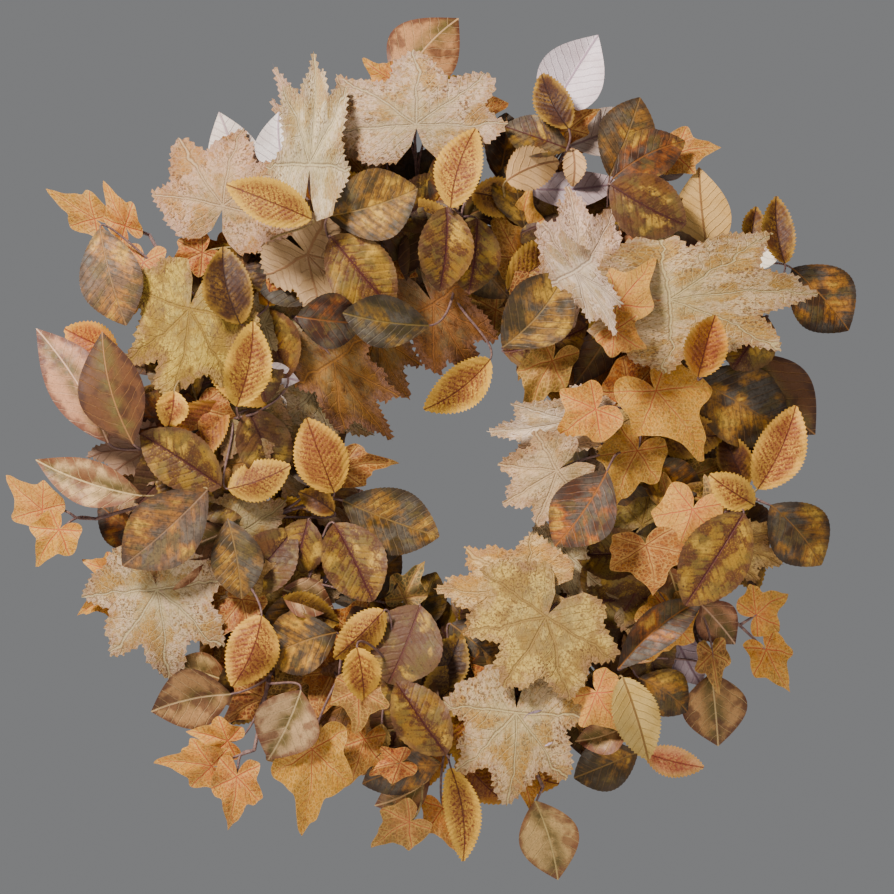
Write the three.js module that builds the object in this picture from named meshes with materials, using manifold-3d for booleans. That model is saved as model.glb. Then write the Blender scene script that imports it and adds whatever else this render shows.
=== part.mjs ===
// Harvest door wreath: a twisted grapevine base, a wire hanger and sprays of faux autumn leaves.
// Millimetres, +Z up. The wreath hangs in the XZ plane and its leaves face -Y.
import * as THREE from 'three';
import { mergeVertices } from 'three/addons/utils/BufferGeometryUtils.js';
import Module from 'manifold-3d';

const wasm = await Module();
wasm.setup();

// ---------------------------------------------------------------- driving dimensions
const RING_RADIUS = 175; // centreline of the vine base
const CORE_CANES = 3;
const CORE_RADIUS = 3.6;
const CORE_OFFSET = 5; // core cane centre to the base's centreline
const CORE_TWISTS = 5;
const OUTER_CANES = 4;
const OUTER_RADIUS = 3.2;
const OUTER_OFFSET = 16.5;
const OUTER_TWISTS = 4;
const CANE_WOBBLE = 0.8;
const CANE_SWEEP = 352; // degrees: each cane is one bent length whose ends nearly meet
const CANE_STEPS = 38;

const TIE_RADIUS = 1.1; // the tendrils that bind the canes
const TIE_REACH = 23.4; // ring centreline to a tendril's own
const TIE_TURNS = 2;
const TIE_PITCH = 4.5;
const TIE_ANGLES = [25.5, 123.5, 216.5, 295]; // degrees round the ring

const WIRE_RADIUS = 0.9; // hanger wire
const LOOP_HALF_WIDTH = 9;
const LOOP_RISE = 43; // cane centre to the top of the hanger loop

const LEAF_THICKNESS = 0.8;
const LEVEL_PITCH = 12; // depth between one layer of leaves and the next
const FIRST_LEVEL = 31; // from the ring's centreline forward to the deepest leaves
const DOME = 0.0019; // how fast the leaf cover falls back from its crown, per mm
const FOLD = 4; // how far a leaf's margins stand in front of its midrib
const CURL = 3; // how far a leaf's tip bends back
const RIB_NUDGE = 0.02; // a midrib point's step aside while its half blade is triangulated, over the width

const STEM_RADIUS = 1.4;
const STEM_SIDES = 3;
const STEM_SEAT = 22.2; // ring centreline to the point where a stem leaves the vine
const STEM_BITE = 0.8; // how far past a leaf's base its stem ends
const FORK_PLACE = 0.5; // how far from the vine to its leaves a spray's stem forks
const FORK_SPACING = 0.2; // between one side stem and the next, as a part of the stem before the fork
const BEND_GAP = 1; // from a sprig's stem at its bend to the end of the fixed wire that carries it
const HOLE_CLEARANCE = 0.8; // from a stem's corners to a leaf that it passes through

const BACK_OF_BASE = OUTER_OFFSET;
const HOOK_SEAT_Z = RING_RADIUS + LOOP_RISE - WIRE_RADIUS;

// ---------------------------------------------------------------- leaf kinds
// half: one side's outline as [along, across]; along is 0 at the base and 1 at the tip, across is a
// fraction of the full width. ribs: midrib points between base and tip.
const OVATE = [[0.18, 0.36], [0.48, 0.5], [0.8, 0.3]];
const KINDS = {
  elm: { half: OVATE, ribs: [], colour: 0xc98a2e },
  rosy: { half: OVATE, ribs: [0.5], colour: 0x9a7440 },
  magnolia: { half: OVATE, ribs: [0.5], colour: 0x5f4a2c },
  laurel: { half: [[0.22, 0.38], [0.5, 0.5], [0.8, 0.27]], ribs: [0.5], colour: 0xa88b6a },
  ivy: { half: [[-0.12, 0.26], [0.2, 0.5], [0.5, 0.25]], ribs: [], colour: 0xc9823c },
  grape: {
    half: [[-0.3, 0.14], [-0.22, 0.36], [0.12, 0.5], [0.28, 0.34], [0.66, 0.36], [0.7, 0.16]],
    ribs: [0.45], colour: 0xb09a78,
  },
};

// ---------------------------------------------------------------- leaf sprays
// A leaf is [kind, base x, base z, tip x, tip z, layer, width], measured from the ring's centre as seen
// from the front. layer orders the leaves from the deepest, 0, to the topmost, 4.
const SPRAYS = {
  grape_spray_top: [
    ['grape', -18, 253, -20, 308, 3, 132],
    ['laurel', -32, 280, 12, 336, 1, 52],
    ['ivy', -36, 288, -58, 304, 1, 24],
    ['elm', -2, 264, 16, 290, 1, 24],
  ],
  grape_spray_top_left: [
    ['grape', -98, 222, -96, 306, 3, 56],
    ['laurel', -115, 212, -122, 262, 1, 34],
  ],
  grape_spray_upper_left: [
    ['grape', -164, 192, -150, 250, 2, 104],
    ['elm', -96, 180, -157, 205, 4, 31],
    ['laurel', -150, 190, -168, 262, 0, 38],
    ['ivy', -180, 157, -206, 140, 1, 30],
  ],
  magnolia_spray_top_left: [
    ['magnolia', -84, 183, -20, 203, 3, 50],
    ['rosy', -82, 168, -38, 115, 3, 45],
    ['grape', -100, 155, -47, 105, 2, 66],
    ['elm', -70, 158, -20, 178, 1, 32],
  ],
  elm_spray_top: [
    ['elm', 8, 189, 26, 247, 3, 32],
    ['rosy', 5, 190, 0, 130, 3, 38],
    ['rosy', 28, 182, 22, 128, 2, 36],
    ['elm', 24, 202, 60, 190, 2, 28],
  ],
  laurel_spray_top_right: [
    ['laurel', 80, 258, 119, 322, 1, 46],
    ['elm', 97, 250, 78, 292, 3, 26],
    ['ivy', 98, 250, 121, 266, 2, 22],
    ['magnolia', 97, 235, 50, 252, 2, 30],
    ['elm', 100, 236, 100, 208, 2, 16],
  ],
  elm_spray_top_right: [
    ['elm', 50, 210, 88, 225, 3, 30],
    ['laurel', 62, 206, 138, 212, 1, 26],
    ['magnolia', 45, 215, 50, 262, 1, 30],
  ],
  magnolia_spray_upper_right: [
    ['magnolia', 128, 214, 151, 273, 2, 40],
    ['magnolia', 130, 212, 183, 240, 3, 34],
    ['laurel', 158, 214, 190, 236, 1, 24],
    ['ivy', 178, 232, 212, 237, 2, 34],
  ],
  rosy_spray_upper_right: [
    ['rosy', 128, 207, 182, 178, 3, 46],
    ['laurel', 204, 150, 197, 219, 2, 40],
    ['rosy', 165, 172, 206, 190, 1, 34],
  ],
  grape_spray_upper_right: [
    ['grape', 105, 136, 95, 205, 3, 72],
    ['grape', 100, 140, 130, 93, 4, 34],
    ['magnolia', 135, 150, 138, 196, 1, 34],
    ['rosy', 150, 150, 193, 163, 2, 28],
  ],
  grape_spray_right: [
    ['grape', 172, 120, 283, 126, 3, 98],
    ['magnolia', 268, 146, 310, 101, 1, 50],
    ['elm', 236, 164, 241, 192, 2, 16],
    ['elm', 262, 149, 257, 199, 2, 23],
    ['laurel', 228, 145, 263, 168, 1, 22],
  ],
  elm_spray_right: [
    ['elm', 193, 62, 205, 106, 4, 30],
    ['rosy', 248, 108, 222, 70, 2, 38],
    ['magnolia', 188, 62, 262, 20, 2, 56],
    ['laurel', 236, 80, 283, 22, 1, 52],
  ],
  ivy_spray_upper_right: [
    ['ivy', 133, 116, 161, 150, 3, 40],
    ['ivy', 130, 97, 153, 84, 3, 34],
    ['elm', 150, 130, 158, 80, 2, 30],
  ],
  magnolia_spray_inner_top: [
    ['magnolia', 47, 85, 92, 138, 3, 48],
    ['rosy', 48, 82, 108, 100, 2, 42],
    ['ivy', 85, 75, 66, 30, 2, 36],
  ],
  elm_spray_inner_top: [
    ['elm', 38, 76, -10, 40, 4, 30],
    ['grape', -5, 118, 30, 62, 1, 66],
    ['magnolia', -8, 101, -70, 110, 3, 36],
  ],
  magnolia_spray_inner_left: [
    ['magnolia', -108, 108, -60, 103, 2, 38],
    ['grape', -80, 75, -38, 17, 1, 62],
  ],
  ivy_spray_inner_right: [
    ['ivy', 162, 52, 197, 2, 4, 62],
    ['ivy', 149, 7, 133, -34, 4, 48],
    ['ivy', 117, 38, 88, 14, 4, 46],
  ],
  grape_spray_inner_right: [
    ['grape', 100, 30, 38, 22, 2, 46],
    ['grape', 88, -8, 48, -34, 2, 64],
    ['magnolia', 125, -8, 88, -62, 4, 45],
  ],
  elm_spray_far_right: [
    ['elm', 239, -22, 267, 38, 3, 35],
    ['elm', 237, -34, 204, -12, 3, 24],
    ['elm', 232, -20, 214, 20, 1, 24],
    ['ivy', 212, -40, 200, -12, 2, 30],
  ],
  rosy_spray_right: [
    ['rosy', 228, -40, 186, -106, 4, 48],
    ['ivy', 190, -37, 174, -80, 3, 50],
    ['ivy', 176, -40, 168, -10, 2, 32],
    ['laurel', 172, -80, 184, -124, 2, 26],
  ],
  ivy_spray_lower_right: [
    ['ivy', 154, -64, 159, -100, 4, 56],
    ['rosy', 150, -95, 124, -132, 1, 36],
    ['ivy', 173, -117, 158, -152, 3, 44],
  ],
  laurel_spray_right: [
    ['grape', 218, -62, 262, -80, 1, 56],
    ['laurel', 196, -108, 227, -141, 3, 38],
    ['ivy', 210, -145, 216, -177, 3, 30],
  ],
  magnolia_spray_lower_right: [
    ['magnolia', 134, -157, 195, -107, 3, 28],
    ['laurel', 206, -162, 212, -216, 2, 46],
    ['magnolia', 150, -165, 186, -190, 2, 34],
    ['laurel', 140, -152, 168, -130, 2, 24],
  ],
  elm_spray_lower_right: [
    ['elm', 137, -163, 156, -223, 4, 32],
    ['elm', 155, -222, 199, -234, 3, 22],
    ['ivy', 118, -175, 142, -205, 3, 42],
    ['magnolia', 150, -222, 104, -241, 2, 36],
    ['laurel', 143, -200, 104, -212, 2, 26],
  ],
  grape_spray_lower_right: [
    ['grape', 80, -118, 46, -168, 4, 112],
    ['grape', 92, -66, 110, -114, 2, 46],
  ],
  grape_spray_inner_bottom: [
    ['grape', 66, -98, -2, -97, 3, 76],
  ],
  grape_spray_bottom: [
    ['grape', 57, -190, 50, -262, 3, 110],
    ['ivy', 62, -235, 70, -268, 1, 28],
  ],
  rosy_spray_bottom: [
    ['rosy', 5, -221, -31, -169, 4, 38],
    ['elm', 8, -232, 17, -302, 3, 25],
    ['ivy', 2, -264, 14, -300, 2, 32],
  ],
  magnolia_spray_bottom_left: [
    ['magnolia', 0, -230, -56, -244, 2, 34],
    ['laurel', -8, -242, -48, -262, 1, 28],
    ['ivy', -30, -228, -58, -238, 3, 26],
    ['ivy', -57, -210, -71, -245, 2, 34],
    ['ivy', -23, -274, -51, -294, 2, 36],
  ],
  rosy_spray_inner_bottom: [
    ['rosy', -15, -110, -38, -166, 3, 52],
    ['rosy', -12, -158, -38, -222, 1, 48],
    ['elm', -42, -113, -78, -148, 3, 26],
    ['elm', -62, -140, -57, -179, 4, 26],
    ['elm', -44, -199, -48, -223, 1, 13],
  ],
  ivy_spray_lower_left: [
    ['ivy', -80, -160, -95, -195, 1, 44],
    ['ivy', -62, -172, -64, -204, 2, 40],
    ['magnolia', -78, -130, -130, -150, 1, 44],
    ['ivy', -96, -217, -104, -281, 2, 54],
  ],
  laurel_spray_lower_left: [
    ['laurel', -104, -172, -128, -223, 3, 46],
    ['laurel', -158, -177, -216, -190, 3, 43],
    ['laurel', -160, -168, -204, -157, 2, 28],
    ['ivy', -160, -212, -191, -206, 3, 30],
    ['ivy', -133, -180, -166, -200, 2, 36],
  ],
  elm_spray_lower_left: [
    ['elm', -134, -117, -155, -168, 4, 36],
    ['magnolia', -160, -45, -150, -102, 2, 36],
    ['ivy', -150, -105, -178, -135, 1, 40],
  ],
  grape_spray_lower_left: [
    ['grape', -214, -98, -206, -164, 3, 100],
    ['ivy', -245, -104, -275, -118, 1, 26],
    ['ivy', -248, -84, -271, -76, 1, 22],
  ],
  magnolia_spray_left: [
    ['magnolia', -175, -22, -236, -77, 4, 50],
    ['rosy', -165, -20, -223, 18, 3, 40],
    ['laurel', -225, -27, -303, -1, 2, 32],
  ],
  laurel_spray_left: [
    ['laurel', -251, 13, -305, 96, 2, 42],
    ['laurel', -231, 12, -254, 93, 3, 46],
    ['grape', -225, 5, -268, 2, 1, 44],
  ],
  grape_spray_left: [
    ['grape', -189, 114, -208, 45, 2, 96],
    ['ivy', -183, 40, -178, 2, 1, 50],
    ['elm', -200, 52, -205, 25, 2, 22],
    ['elm', -245, 82, -284, 99, 1, 28],
  ],
  elm_spray_left: [
    ['elm', -153, 40, -141, 101, 4, 32],
    ['rosy', -115, 62, -138, 114, 3, 38],
    ['rosy', -145, 38, -122, -12, 3, 38],
    ['elm', -160, -22, -115, -5, 4, 28],
  ],
  elm_spray_inner_left: [
    ['elm', -80, -25, -100, 29, 4, 37],
    ['magnolia', -74, -31, -4, -57, 3, 46],
    ['ivy', -75, -8, -33, -3, 1, 30],
    ['elm', -80, -40, -106, -25, 2, 18],
  ],
  rosy_spray_inner_left: [
    ['rosy', -100, -45, -116, -86, 2, 34],
    ['rosy', -80, -48, -52, -104, 3, 44],
    ['ivy', -27, -105, -12, -78, 1, 28],
    ['laurel', -120, -98, -82, -112, 1, 28],
  ],
  elm_spray_upper_left: [
    ['elm', -150, 102, -163, 158, 3, 34],
    ['elm', -130, 116, -128, 152, 1, 36],
  ],
  magnolia_spray_upper_left: [
    ['magnolia', -258, 176, -238, 105, 2, 44],
    ['ivy', -225, 150, -232, 112, 1, 36],
  ],
};

// Sprigs on a free length of bendable wire stem. bend: where the wire bends, in plan. spray: the fixed
// spray whose stem carries it. Each stem is a route of plan points from the bend to a leaf's base.
const SPRIGS = {
  ivy_sprig_left: {
    spray: 'magnolia_spray_left',
    bend: [-262, -45],
    leaves: [['ivy', -303, -38, -331, -13, 2, 36], ['ivy', -289, -53, -307, -80, 2, 36]],
    stems: [[[-276, -44], [-285, -39]], [[-276, -44]]],
  },
  ivy_sprig_upper_left: {
    spray: 'magnolia_spray_upper_left',
    bend: [-222, 172],
    leaves: [['ivy', -264, 184, -301, 207, 2, 28], ['ivy', -240, 178, -257, 212, 2, 24]],
    stems: [[], []],
  },
  ivy_sprig_lower_left: {
    spray: 'laurel_spray_lower_left',
    bend: [-140, -219],
    leaves: [['ivy', -172, -231, -215, -230, 3, 34], ['ivy', -153, -238, -160, -278, 3, 36]],
    stems: [[[-150, -222]], [[-150, -222]]],
  },
  ivy_sprig_right: {
    spray: 'laurel_spray_right',
    bend: [228, -126],
    leaves: [['ivy', 240, -118, 265, -102, 2, 42], ['ivy', 246, -143, 267, -177, 2, 40]],
    stems: [[], []],
  },
  magnolia_sprig_right: {
    spray: 'elm_spray_far_right',
    bend: [240, -30],
    leaves: [['magnolia', 250, -34, 290, -80, 3, 50]],
    stems: [[]],
  },
  laurel_sprig_bottom: {
    spray: 'grape_spray_bottom',
    bend: [78, -248],
    leaves: [['laurel', 72, -258, 90, -321, 3, 46]],
    stems: [[]],
  },
};

// ---------------------------------------------------------------- solids
function toManifold(geometry) {
  const bare = geometry.clone();
  bare.deleteAttribute('normal');
  bare.deleteAttribute('uv');
  const merged = mergeVertices(bare, 1e-4);
  return new wasm.Manifold(new wasm.Mesh({
    numProp: 3,
    vertProperties: new Float32Array(merged.attributes.position.array),
    triVerts: new Uint32Array(merged.index.array),
  }));
}

function toGeometry(solid) {
  const { vertProperties, triVerts } = solid.getMesh();
  const geometry = new THREE.BufferGeometry();
  geometry.setAttribute('position', new THREE.BufferAttribute(new Float32Array(vertProperties), 3));
  geometry.setIndex(new THREE.BufferAttribute(new Uint32Array(triVerts), 1));
  const faceted = geometry.toNonIndexed();
  faceted.computeVertexNormals();
  return faceted;
}

function tube(curve, radius, sides, steps) {
  const section = new THREE.Shape();
  for (let i = 0; i < sides; i += 1) {
    const turn = (2 * Math.PI * i) / sides;
    if (i === 0) {
      section.moveTo(radius, 0);
    } else {
      section.lineTo(radius * Math.cos(turn), radius * Math.sin(turn));
    }
  }
  section.closePath();
  return new THREE.ExtrudeGeometry(section, { extrudePath: curve, steps, bevelEnabled: false });
}

// ---------------------------------------------------------------- vine base
// A cane that winds round the ring's centreline, at a given offset from it.
class CaneCurve extends THREE.Curve {
  constructor(start, offset, phase, twists, sweep) {
    super();
    Object.assign(this, { start, offset, phase, twists, sweep });
  }

  getPoint(t, target = new THREE.Vector3()) {
    const along = this.start + this.sweep * t;
    const around = this.phase + this.twists * along;
    const offset = this.offset + CANE_WOBBLE * Math.sin(3 * along + this.phase);
    const radius = RING_RADIUS + offset * Math.cos(around);
    return target.set(radius * Math.cos(along), offset * Math.sin(around), radius * Math.sin(along));
  }
}

function makeCanes() {
  const canes = [];
  const sweep = THREE.MathUtils.degToRad(CANE_SWEEP);
  for (let i = 0; i < CORE_CANES; i += 1) {
    const phase = (2 * Math.PI * i) / CORE_CANES;
    const start = 0.4 + (2 * Math.PI * i) / CORE_CANES;
    const curve = new CaneCurve(start, CORE_OFFSET, phase, CORE_TWISTS, sweep);
    canes.push([`vine_core_cane_${i + 1}`, tube(curve, CORE_RADIUS, 5, CANE_STEPS), 0x5b4130]);
  }
  // The first outer cane stands straight behind the centreline at the ring's top, where the hanger is.
  const top = Math.PI / 2;
  for (let i = 0; i < OUTER_CANES; i += 1) {
    const phase = Math.PI / 2 - OUTER_TWISTS * top + (2 * Math.PI * i) / OUTER_CANES;
    const start = -0.9 + 1.3 * i;
    const curve = new CaneCurve(start, OUTER_OFFSET, phase, OUTER_TWISTS, sweep);
    canes.push([`vine_outer_cane_${i + 1}`, tube(curve, OUTER_RADIUS, 5, CANE_STEPS), 0x6a4c36]);
  }
  return canes;
}

// A tendril wound round all the canes.
class TieCurve extends THREE.Curve {
  constructor(angle) {
    super();
    this.angle = angle;
  }

  getPoint(t, target = new THREE.Vector3()) {
    const around = 2 * Math.PI * TIE_TURNS * t;
    const along = this.angle + (TIE_PITCH * TIE_TURNS * (t - 0.5)) / RING_RADIUS;
    const radius = RING_RADIUS + TIE_REACH * Math.cos(around);
    return target.set(radius * Math.cos(along), TIE_REACH * Math.sin(around), radius * Math.sin(along));
  }
}

function makeTies() {
  return TIE_ANGLES.map((degrees, i) => {
    const curve = new TieCurve(THREE.MathUtils.degToRad(degrees));
    return [`vine_tie_${i + 1}`, tube(curve, TIE_RADIUS, 4, 10 * TIE_TURNS), 0x7a5a3e];
  });
}

// One wire: an eye round the rear cane, a quarter twist, and a loop that faces the door for the hook.
function makeHanger() {
  const y = BACK_OF_BASE;
  const side = (x, dy, dz) => new THREE.Vector3(x, y + dy, RING_RADIUS + dz);
  const route = [
    side(0, 0, -5.6),
    side(0, 4.7, -3.8),
    side(0, 6.4, 1),
    side(1, 4.6, 7.5),
    side(1.9, 0, 14),
    side(4, 0, 22),
    side(LOOP_HALF_WIDTH, 0, 33),
    side(0, 0, LOOP_RISE),
    side(-LOOP_HALF_WIDTH, 0, 33),
    side(-4, 0, 22),
    side(-1.9, 0, 14),
    side(-1, -4.6, 7.5),
    side(0, -6.4, 1),
    side(0, -4.7, -3.8),
  ];
  const curve = new THREE.CatmullRomCurve3(route, true);
  return ['hanger_loop', tube(curve, WIRE_RADIUS, 5, 40), 0x6f6a66];
}

// ---------------------------------------------------------------- leaves
function readLeaf([kind, baseX, baseZ, tipX, tipZ, layer, width]) {
  const length = Math.hypot(tipX - baseX, tipZ - baseZ);
  const leaf = { ...KINDS[kind], baseX, baseZ, layer, width, length };
  leaf.alongX = (tipX - baseX) / length;
  leaf.alongZ = (tipZ - baseZ) / length;
  return leaf;
}

// A point of a leaf in plan: right of the midrib is negative.
function leafPlan(leaf, along, across) {
  const u = along * leaf.length;
  const v = across * leaf.width;
  return [
    leaf.baseX + leaf.alongX * u - leaf.alongZ * v,
    leaf.baseZ + leaf.alongZ * u + leaf.alongX * v,
  ];
}

// The outline in plan, anticlockwise from the base.
function leafOutline(leaf) {
  const right = leaf.half.map(([u, v]) => [u, -v]);
  const left = leaf.half.map(([u, v]) => [u, v]).reverse();
  return [[0, 0], ...right, [1, 0], ...left];
}

function domeDepth(x, z) {
  return DOME * (Math.hypot(x, z) - RING_RADIUS) ** 2;
}

// Where the middle of a leaf's thickness lies at a point of its blade.
function leafPoint(leaf, along, across) {
  const [x, z] = leafPlan(leaf, along, across);
  const rise = 2 * FOLD * Math.abs(across) - CURL * Math.max(along, 0) ** 2;
  const y = domeDepth(x, z) - FIRST_LEVEL - leaf.level * LEVEL_PITCH - rise;
  return new THREE.Vector3(x, y, z);
}

function edgesCross([ax, az], [bx, bz], [cx, cz], [dx, dz]) {
  const turn = (px, pz, qx, qz, rx, rz) => (qx - px) * (rz - pz) - (qz - pz) * (rx - px);
  return turn(ax, az, bx, bz, cx, cz) * turn(ax, az, bx, bz, dx, dz) < 0
    && turn(cx, cz, dx, dz, ax, az) * turn(cx, cz, dx, dz, bx, bz) < 0;
}

function isInside([x, z], outline) {
  let inside = false;
  outline.forEach(([ax, az], i) => {
    const [bx, bz] = outline[(i + 1) % outline.length];
    if ((az > z) !== (bz > z) && x < ax + ((bx - ax) * (z - az)) / (bz - az)) {
      inside = !inside;
    }
  });
  return inside;
}

function outlinesMeet(first, second) {
  const crossing = first.some((a, i) => second.some((c, j) => edgesCross(
    a, first[(i + 1) % first.length], c, second[(j + 1) % second.length],
  )));
  return crossing || isInside(first[0], second) || isInside(second[0], first);
}

// Each leaf, from the deepest up, takes the first level in front of every leaf that it covers.
function assignLevels(leaves) {
  const placed = [];
  [...leaves].sort((a, b) => a.layer - b.layer).forEach((leaf) => {
    leaf.plan = leafOutline(leaf).map(([u, v]) => leafPlan(leaf, u, v));
    const covered = placed.filter((other) => outlinesMeet(leaf.plan, other.plan));
    leaf.level = covered.reduce((level, other) => Math.max(level, other.level + 1), 0);
    placed.push(leaf);
  });
}

// A thin closed plate: the two halves of the blade either side of the midrib, their backs and the rim.
function leafSolid(leaf) {
  const outline = leafOutline(leaf);
  const count = outline.length;
  const tip = count / 2;
  const points = [...outline, ...leaf.ribs.map((u) => [u, 0])];
  const ribs = leaf.ribs.map((u, i) => count + i);
  const halves = [
    { side: -1, loop: [...Array(tip + 1).keys(), ...[...ribs].reverse()] },
    { side: 1, loop: [...[...Array(tip).keys()].map((i) => tip + i), 0, ...ribs] },
  ];
  const total = points.length;
  const triangles = [];
  halves.forEach(({ side, loop }) => {
    // Midrib points step a hair into the half, so that none is lost as lying on a straight edge.
    const contour = loop.map((i) => {
      const across = i < count ? points[i][1] : side * RIB_NUDGE;
      return new THREE.Vector2(points[i][0] * leaf.length, across * leaf.width);
    });
    THREE.ShapeUtils.triangulateShape(contour, []).forEach((corners) => {
      const [p, q, r] = corners.map((i) => contour[i]);
      const [a, b, c] = corners.map((i) => loop[i]);
      const isFront = q.clone().sub(p).cross(r.clone().sub(p)) > 0;
      const front = isFront ? [a, b, c] : [a, c, b];
      triangles.push(...front, ...[...front].reverse().map((i) => i + total));
    });
  });
  for (let i = 0; i < count; i += 1) {
    const next = (i + 1) % count;
    triangles.push(next, i, i + total, next, i + total, next + total);
  }
  const vertices = [];
  [-0.5, 0.5].forEach((face) => points.forEach(([u, v]) => {
    const { x, y, z } = leafPoint(leaf, u, v);
    vertices.push(x, y + face * LEAF_THICKNESS, z);
  }));
  return new wasm.Manifold(new wasm.Mesh({
    numProp: 3,
    vertProperties: new Float32Array(vertices),
    triVerts: new Uint32Array(triangles),
  }));
}

// ---------------------------------------------------------------- stems
function stemSeat(x, z) {
  const reach = Math.hypot(x, z);
  const lean = THREE.MathUtils.clamp((reach - RING_RADIUS) / 100, -1.2, 1.2);
  const radius = RING_RADIUS + STEM_SEAT * Math.sin(lean);
  return new THREE.Vector3((x / reach) * radius, -STEM_SEAT * Math.cos(lean), (z / reach) * radius);
}

function average(points) {
  const sum = points.reduce((total, point) => total.add(point), new THREE.Vector3());
  return sum.divideScalar(points.length);
}

// A stem's route is a list of points, and its wire bends at each of them.
class Route extends THREE.Curve {
  constructor(points) {
    super();
    this.points = points;
  }

  getPoint(t, target = new THREE.Vector3()) {
    const place = t * (this.points.length - 1);
    const i = Math.min(Math.floor(place), this.points.length - 2);
    return target.lerpVectors(this.points[i], this.points[i + 1], place - i);
  }

  getPointAt(u, target) {
    return this.getPoint(u, target);
  }

  getTangentAt(u, target) {
    return this.getTangent(u, target);
  }
}

function stemSolid(points, radius) {
  return toManifold(tube(new Route(points), radius, STEM_SIDES, points.length - 1));
}

// A stem ends just inside the leaf that it carries.
function leafJoint(leaf) {
  return leafPoint(leaf, STEM_BITE / leaf.length, 0);
}

// The first leaf ends the spray's main stem, and the others' stems leave it one after another.
function sprayStems(leaves) {
  const middle = average(leaves.map((leaf) => leafPoint(leaf, 0, 0)));
  const seat = stemSeat(middle.x, middle.z);
  const fork = seat.clone().lerp(middle, FORK_PLACE);
  const branches = leaves.slice(1).map((leaf, i) => (
    [fork.clone().lerp(seat, FORK_SPACING * (i + 1)), leafJoint(leaf)]
  ));
  return [[seat, fork, leafJoint(leaves[0])], ...branches];
}

function sprigBend({ bend: [x, z], leaves }) {
  const depth = average(leaves.map((leaf) => leafPoint(leaf, 0, 0))).y;
  return new THREE.Vector3(x, depth, z);
}

function sprigStems(sprig) {
  const bend = sprigBend(sprig);
  return sprig.leaves.map((leaf, i) => {
    const via = sprig.stems[i].map(([x, z]) => new THREE.Vector3(x, bend.y, z));
    return [bend, ...via, leafJoint(leaf)];
  });
}

// The fixed wire that carries a sprig: from its spray's fork to just short of the bend.
function carrierStem(sprig, fork) {
  const bend = sprigBend(sprig);
  const short = (STEM_RADIUS + BEND_GAP) / fork.distanceTo(bend);
  return [fork, bend.clone().lerp(fork, short)];
}

// ---------------------------------------------------------------- assembly
function makeSprays() {
  const sprays = Object.entries(SPRAYS).map(([name, rows]) => ({ name, leaves: rows.map(readLeaf) }));
  const sprigs = Object.entries(SPRIGS).map(([name, { leaves, ...rest }]) => (
    { name, leaves: leaves.map(readLeaf), ...rest }
  ));
  const all = [...sprays, ...sprigs];
  assignLevels(all.flatMap((spray) => spray.leaves));
  sprays.forEach((spray) => {
    spray.routes = sprayStems(spray.leaves);
  });
  sprigs.forEach((sprig) => {
    sprig.routes = sprigStems(sprig);
    const { routes } = sprays.find((spray) => spray.name === sprig.spray);
    routes.push(carrierStem(sprig, routes[0][1]));
  });
  const holes = new Map(all.map((spray) => [
    spray, spray.routes.map((route) => stemSolid(route, STEM_RADIUS + HOLE_CLEARANCE)),
  ]));
  return all.map((spray) => {
    const foreign = all.filter((other) => other !== spray).flatMap((other) => holes.get(other));
    const blades = spray.leaves.map((leaf) => {
      const pierced = foreign.reduce((blade, hole) => blade.subtract(hole), leafSolid(leaf));
      return largestPiece(pierced);
    });
    const stems = spray.routes.map((route) => stemSolid(route, STEM_RADIUS));
    const solid = [...blades, ...stems].reduce((sum, piece) => sum.add(piece));
    return [spray.name, toGeometry(solid), spray.leaves[0].colour];
  });
}

function largestPiece(solid) {
  return solid.decompose().reduce((best, piece) => (piece.volume() > best.volume() ? piece : best));
}

const group = new THREE.Group();
group.position.set(0, -BACK_OF_BASE, -HOOK_SEAT_Z);
[...makeCanes(), ...makeTies(), makeHanger(), ...makeSprays()].forEach(([name, geometry, colour]) => {
  const material = new THREE.MeshStandardMaterial({ color: colour, roughness: 0.8, metalness: 0 });
  const mesh = new THREE.Mesh(geometry, material);
  mesh.name = name;
  group.add(mesh);
});

export default group;
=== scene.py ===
"""Harvest door wreath: detailed leaves, wires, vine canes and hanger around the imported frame.

Plan measures are millimetres from the ring's centre as seen from the front, x to the right and z up.
Depth is y in millimetres from the same centre, and the leaves face -Y.
"""
import math
import random

import bpy
import numpy as np
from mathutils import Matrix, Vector
from mathutils.geometry import delaunay_2d_cdt


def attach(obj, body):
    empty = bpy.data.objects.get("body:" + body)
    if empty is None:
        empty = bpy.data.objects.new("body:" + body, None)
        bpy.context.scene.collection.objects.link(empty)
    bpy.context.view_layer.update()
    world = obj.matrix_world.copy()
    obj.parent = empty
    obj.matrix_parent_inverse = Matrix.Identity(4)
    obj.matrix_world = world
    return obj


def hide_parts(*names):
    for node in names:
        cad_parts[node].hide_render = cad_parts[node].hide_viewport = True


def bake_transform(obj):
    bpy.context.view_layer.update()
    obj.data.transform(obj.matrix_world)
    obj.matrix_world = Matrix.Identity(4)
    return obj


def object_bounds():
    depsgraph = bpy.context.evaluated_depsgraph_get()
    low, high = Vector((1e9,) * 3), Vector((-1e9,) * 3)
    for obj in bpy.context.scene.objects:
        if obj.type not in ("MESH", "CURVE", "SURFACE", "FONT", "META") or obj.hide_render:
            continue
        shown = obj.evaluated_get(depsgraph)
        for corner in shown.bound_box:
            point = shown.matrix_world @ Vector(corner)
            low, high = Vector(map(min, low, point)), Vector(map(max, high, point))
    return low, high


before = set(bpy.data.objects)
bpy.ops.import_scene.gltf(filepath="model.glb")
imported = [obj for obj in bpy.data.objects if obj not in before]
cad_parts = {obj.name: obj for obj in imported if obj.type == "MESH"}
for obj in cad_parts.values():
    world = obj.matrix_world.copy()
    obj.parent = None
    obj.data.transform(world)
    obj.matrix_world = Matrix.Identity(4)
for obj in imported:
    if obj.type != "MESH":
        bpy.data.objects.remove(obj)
cad_low, cad_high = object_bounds()

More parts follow.
